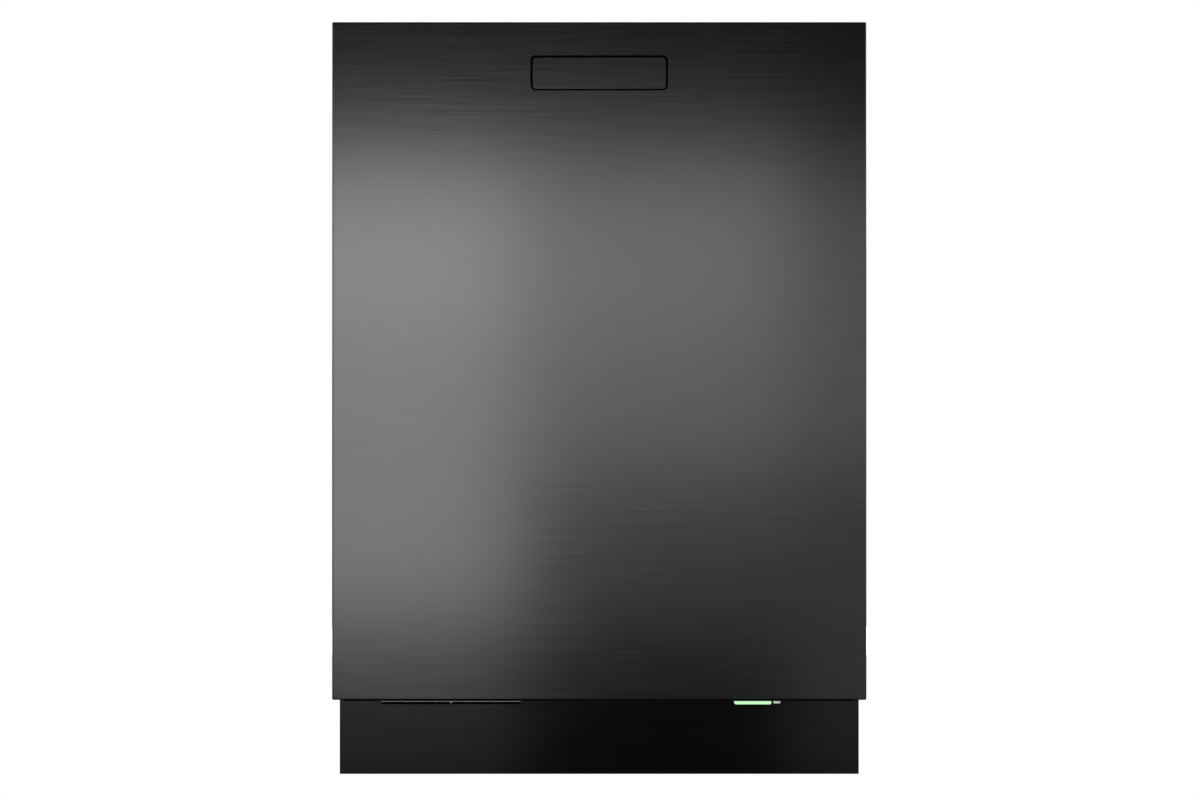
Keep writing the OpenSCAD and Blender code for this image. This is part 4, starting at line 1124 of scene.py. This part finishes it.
class DISHWASHER_OT_cabinet(PieceOperator, bpy.types.Operator):
    """The zinc-coated frame, its worktop brackets, the base tray and the felt mats round the tub"""
    bl_idname = "dishwasher.cabinet"
    bl_label = "Frame, base and mats"

    def build(self, sizes):
        softened({"chassis_frame": 0.4, "counter_brackets": 0.4, "base_tray": 1.0})
        low, high = box("insulation_mats")
        thick = 10 * MM
        inner = high.x - thick
        top = high.z - thick
        back = high.y - thick
        slabs = (
            ((-high.x, low.y, low.z), (-inner, back, top)),
            ((inner, low.y, low.z), (high.x, back, top)),
            ((-inner, low.y, top), (inner, back, high.z)),
            ((-inner, back, low.z), (inner, high.y, top)),
        )
        mats = []
        for slab_low, slab_high in slabs:
            mats.append(cube(slab_low, slab_high))
            soften(3.5 * MM, 2)
            edit()
            bpy.ops.mesh.select_all(action="SELECT")
            bpy.ops.mesh.subdivide(number_cuts=14)
            done()
        felt = joined(*mats)
        lumps = bpy.data.textures.new("felt lumps", "CLOUDS")
        lumps.noise_scale = 0.04
        modify("DISPLACE", texture=lumps, strength=1.6 * MM, mid_level=0.5)
        stand_in("insulation_mats", felt, "felt_mats")


class DISHWASHER_OT_feet(PieceOperator, bpy.types.Operator):
    """Four levelling feet: a moulded pad and a threaded stud"""
    bl_idname = "dishwasher.feet"
    bl_label = "Feet"

    def build(self, sizes):
        for node in ("foot_front_left", "foot_front_right", "foot_rear_left", "foot_rear_right"):
            low, high = box(node)
            centre = (low + high) / 2
            up = Vector((centre.x, centre.y, 0))
            pad = rod(up, up + Z * 8 * MM, high.x - centre.x, 48)
            soften(1.8 * MM, 3)
            core = 5.3 * MM
            stud = rod(up + Z * 7 * MM, high.z * Z + up, core, 24)
            soften(0.8 * MM)
            thread = coil(up + Z * 10 * MM, "Z", 58 * MM, core, 0.6 * MM, 32, 16, 6)
            stand_in(node, joined(pad, stud, thread))


class DISHWASHER_OT_stage(PieceOperator, bpy.types.Operator):
    """The camera, the pale floor, the soft studio lights and the white background"""
    bl_idname = "dishwasher.stage"
    bl_label = "Camera, floor and lights"

    def build(self, sizes):
        low, high = (Vector(corner) for corner in CAD_BOX)
        self.camera(low, high)
        self.floor(low)
        for name, x, z, height, power in WALL:
            self.light(name, (x, WALL_PLANE, z), (WALL_PANEL, height), power)
        for lamp in LIGHTS:
            self.light(*lamp)
        self.light(*MATT_FILL).visible_glossy = False
        self.background()

    def camera(self, low, high):
        eye = (EYE_SHIFT, low.y - VIEW_DISTANCE, high.z - EYE_DROP)
        bpy.ops.object.camera_add(location=eye, rotation=(math.pi / 2, 0, 0))
        camera = bpy.context.object
        camera.data.lens = camera.data.sensor_width * VIEW_DISTANCE / VIEW_WIDTH
        camera.data.clip_end = 50
        bpy.context.scene.camera = camera
        bpy.context.scene.view_settings.view_transform = "Standard"

    def floor(self, low):
        bpy.ops.mesh.primitive_plane_add(size=1, location=(0, 2.2, 0), scale=(8, 5.8, 1))
        floor = settle()
        floor.name = "floor"
        white = linear("#ffffff")
        floor.data.materials.append(finish_of("white studio floor", white, Roughness=0.9,
                                              Emission_Strength=0.75, Emission_Color=white)[0])
        floor.visible_glossy = False
        floor.visible_diffuse = False
        floor.visible_shadow = False

    def light(self, name, centre, size, power):
        bpy.ops.object.light_add(type="AREA", location=centre)
        light = bpy.context.object
        light.name = name
        light.rotation_euler = (Vector(centre) - LIGHT_TARGET).to_track_quat("Z", "Y").to_euler()
        light.data.shape = "RECTANGLE"
        light.data.size, light.data.size_y = size
        light.data.energy = power
        light.visible_camera = False
        return light

    def background(self):
        """A white background, and for the light on the object a dim room with paler walls at its sides."""
        world = bpy.data.worlds.new("studio")
        bpy.context.scene.world = world
        world.use_nodes = True
        tree = world.node_tree
        tree.nodes.clear()
        white = add(tree, "ShaderNodeBackground", Color=(1, 1, 1, 1), Strength=1)
        way = add(tree, "ShaderNodeTexCoord")
        parts = add(tree, "ShaderNodeSeparateXYZ", {"Vector": way.outputs["Generated"]})
        aside = add(tree, "ShaderNodeMath", {0: parts.outputs["X"]}, operation="ABSOLUTE")
        walls = add(tree, "ShaderNodeMapRange", {"Value": aside.outputs[0]}, interpolation_type="SMOOTHSTEP",
                    From_Min=0.2, From_Max=0.75, To_Min=ROOM_LIGHT, To_Max=WALL_LIGHT)
        dim = add(tree, "ShaderNodeBackground", {"Strength": walls.outputs["Result"]}, Color=(1, 1, 1, 1))
        seen = add(tree, "ShaderNodeLightPath")
        mix = add(tree, "ShaderNodeMixShader",
                  {0: seen.outputs["Is Camera Ray"], 1: dim.outputs[0], 2: white.outputs[0]})
        add(tree, "ShaderNodeOutputWorld", {"Surface": mix.outputs[0]})


VIEW_DISTANCE = 4.0
VIEW_WIDTH = 1.338
EYE_DROP = 0.4215
EYE_SHIFT = 0.84 * MM
ROOM_LIGHT = 0.08
WALL_LIGHT = 0.5
LIGHT_TARGET = Vector((0, 0, 0.42))
# One wall of softboxes in front of the door, brightest at the left; its reflection gives the steel its long
# fade. It reaches into a pit below the floor. Name, X, Z, height, watts.
WALL_PLANE = -2.8
WALL_PANEL = 0.5
WALL = (
    ("left softbox, top", -0.4, 0.715, 0.3, 3.6),
    ("left softbox, middle", -0.4, 0.43, 0.27, 2.3),
    ("left softbox, low", -0.4, 0.155, 0.27, 2.35),
    ("left softbox, pit", -0.4, -0.13, 0.29, 0.4),
    ("middle softbox, top", 0.1, 0.715, 0.3, 2.0),
    ("middle softbox", 0.1, 0.43, 0.27, 1.25),
    ("middle softbox, low", 0.1, 0.155, 0.27, 0.37),
    ("right softbox", 0.6, 0.57, 0.54, 1.6),
    ("right softbox, low", 0.6, 0.0, 0.56, 0.65),
    ("far left softbox", -0.9, 0.29, 0.54, 1.5),
)
# Name, centre, width and height, watts
LIGHTS = (
    ("top softbox", (0.0, 0.3, 2.6), (2.2, 2.2), 18),
    ("left side softbox", (-3.0, -1.3, 0.9), (1.6, 1.6), 30),
    ("right side softbox", (3.0, -1.3, 0.9), (1.6, 1.6), 30),
    ("rear softbox", (1.4, 2.6, 1.4), (1.8, 1.4), 40),
    ("left rear softbox", (-1.8, 2.2, 1.2), (1.4, 1.4), 26),
)
# This one lights only what is matt: polished metal doesn't mirror it
MATT_FILL = ("front fill", (0.7, -2.6, 1.5), (1.6, 1.2), 55)

PIECES = (
    DISHWASHER_OT_finishes, DISHWASHER_OT_door_skin, DISHWASHER_OT_handle, DISHWASHER_OT_under_door,
    DISHWASHER_OT_toe_kick, DISHWASHER_OT_controls, DISHWASHER_OT_tub, DISHWASHER_OT_door_liner,
    DISHWASHER_OT_dispenser, DISHWASHER_OT_hinges, DISHWASHER_OT_lower_rack, DISHWASHER_OT_upper_rack,
    DISHWASHER_OT_cutlery_tray, DISHWASHER_OT_spray_arms, DISHWASHER_OT_water_parts, DISHWASHER_OT_cabinet,
    DISHWASHER_OT_feet, DISHWASHER_OT_stage,
)


class DISHWASHER_PT_panel(bpy.types.Panel):
    bl_idname = "DISHWASHER_PT_panel"
    bl_label = "Dishwasher"
    bl_space_type = "VIEW_3D"
    bl_region_type = "UI"
    bl_category = "Dishwasher"

    def draw(self, context):
        for group in (context.scene.dishwasher_sizes, context.scene.dishwasher_colours):
            column = self.layout.column(align=True)
            for name in group.__annotations__:
                column.prop(group, name)
        for piece in PIECES:
            self.layout.operator(piece.bl_idname)


CLASSES = (DishwasherSizes, DishwasherColours, *PIECES, DISHWASHER_PT_panel)


def register():
    for cls in CLASSES:
        bpy.utils.register_class(cls)
    bpy.types.Scene.dishwasher_sizes = bpy.props.PointerProperty(type=DishwasherSizes)
    bpy.types.Scene.dishwasher_colours = bpy.props.PointerProperty(type=DishwasherColours)


def unregister():
    del bpy.types.Scene.dishwasher_sizes
    del bpy.types.Scene.dishwasher_colours
    for cls in reversed(CLASSES):
        bpy.utils.unregister_class(cls)


def main():
    register()
    for piece in PIECES:
        getattr(bpy.ops.dishwasher, piece.bl_idname.split(".")[1])()


if __name__ == "__main__":
    main()
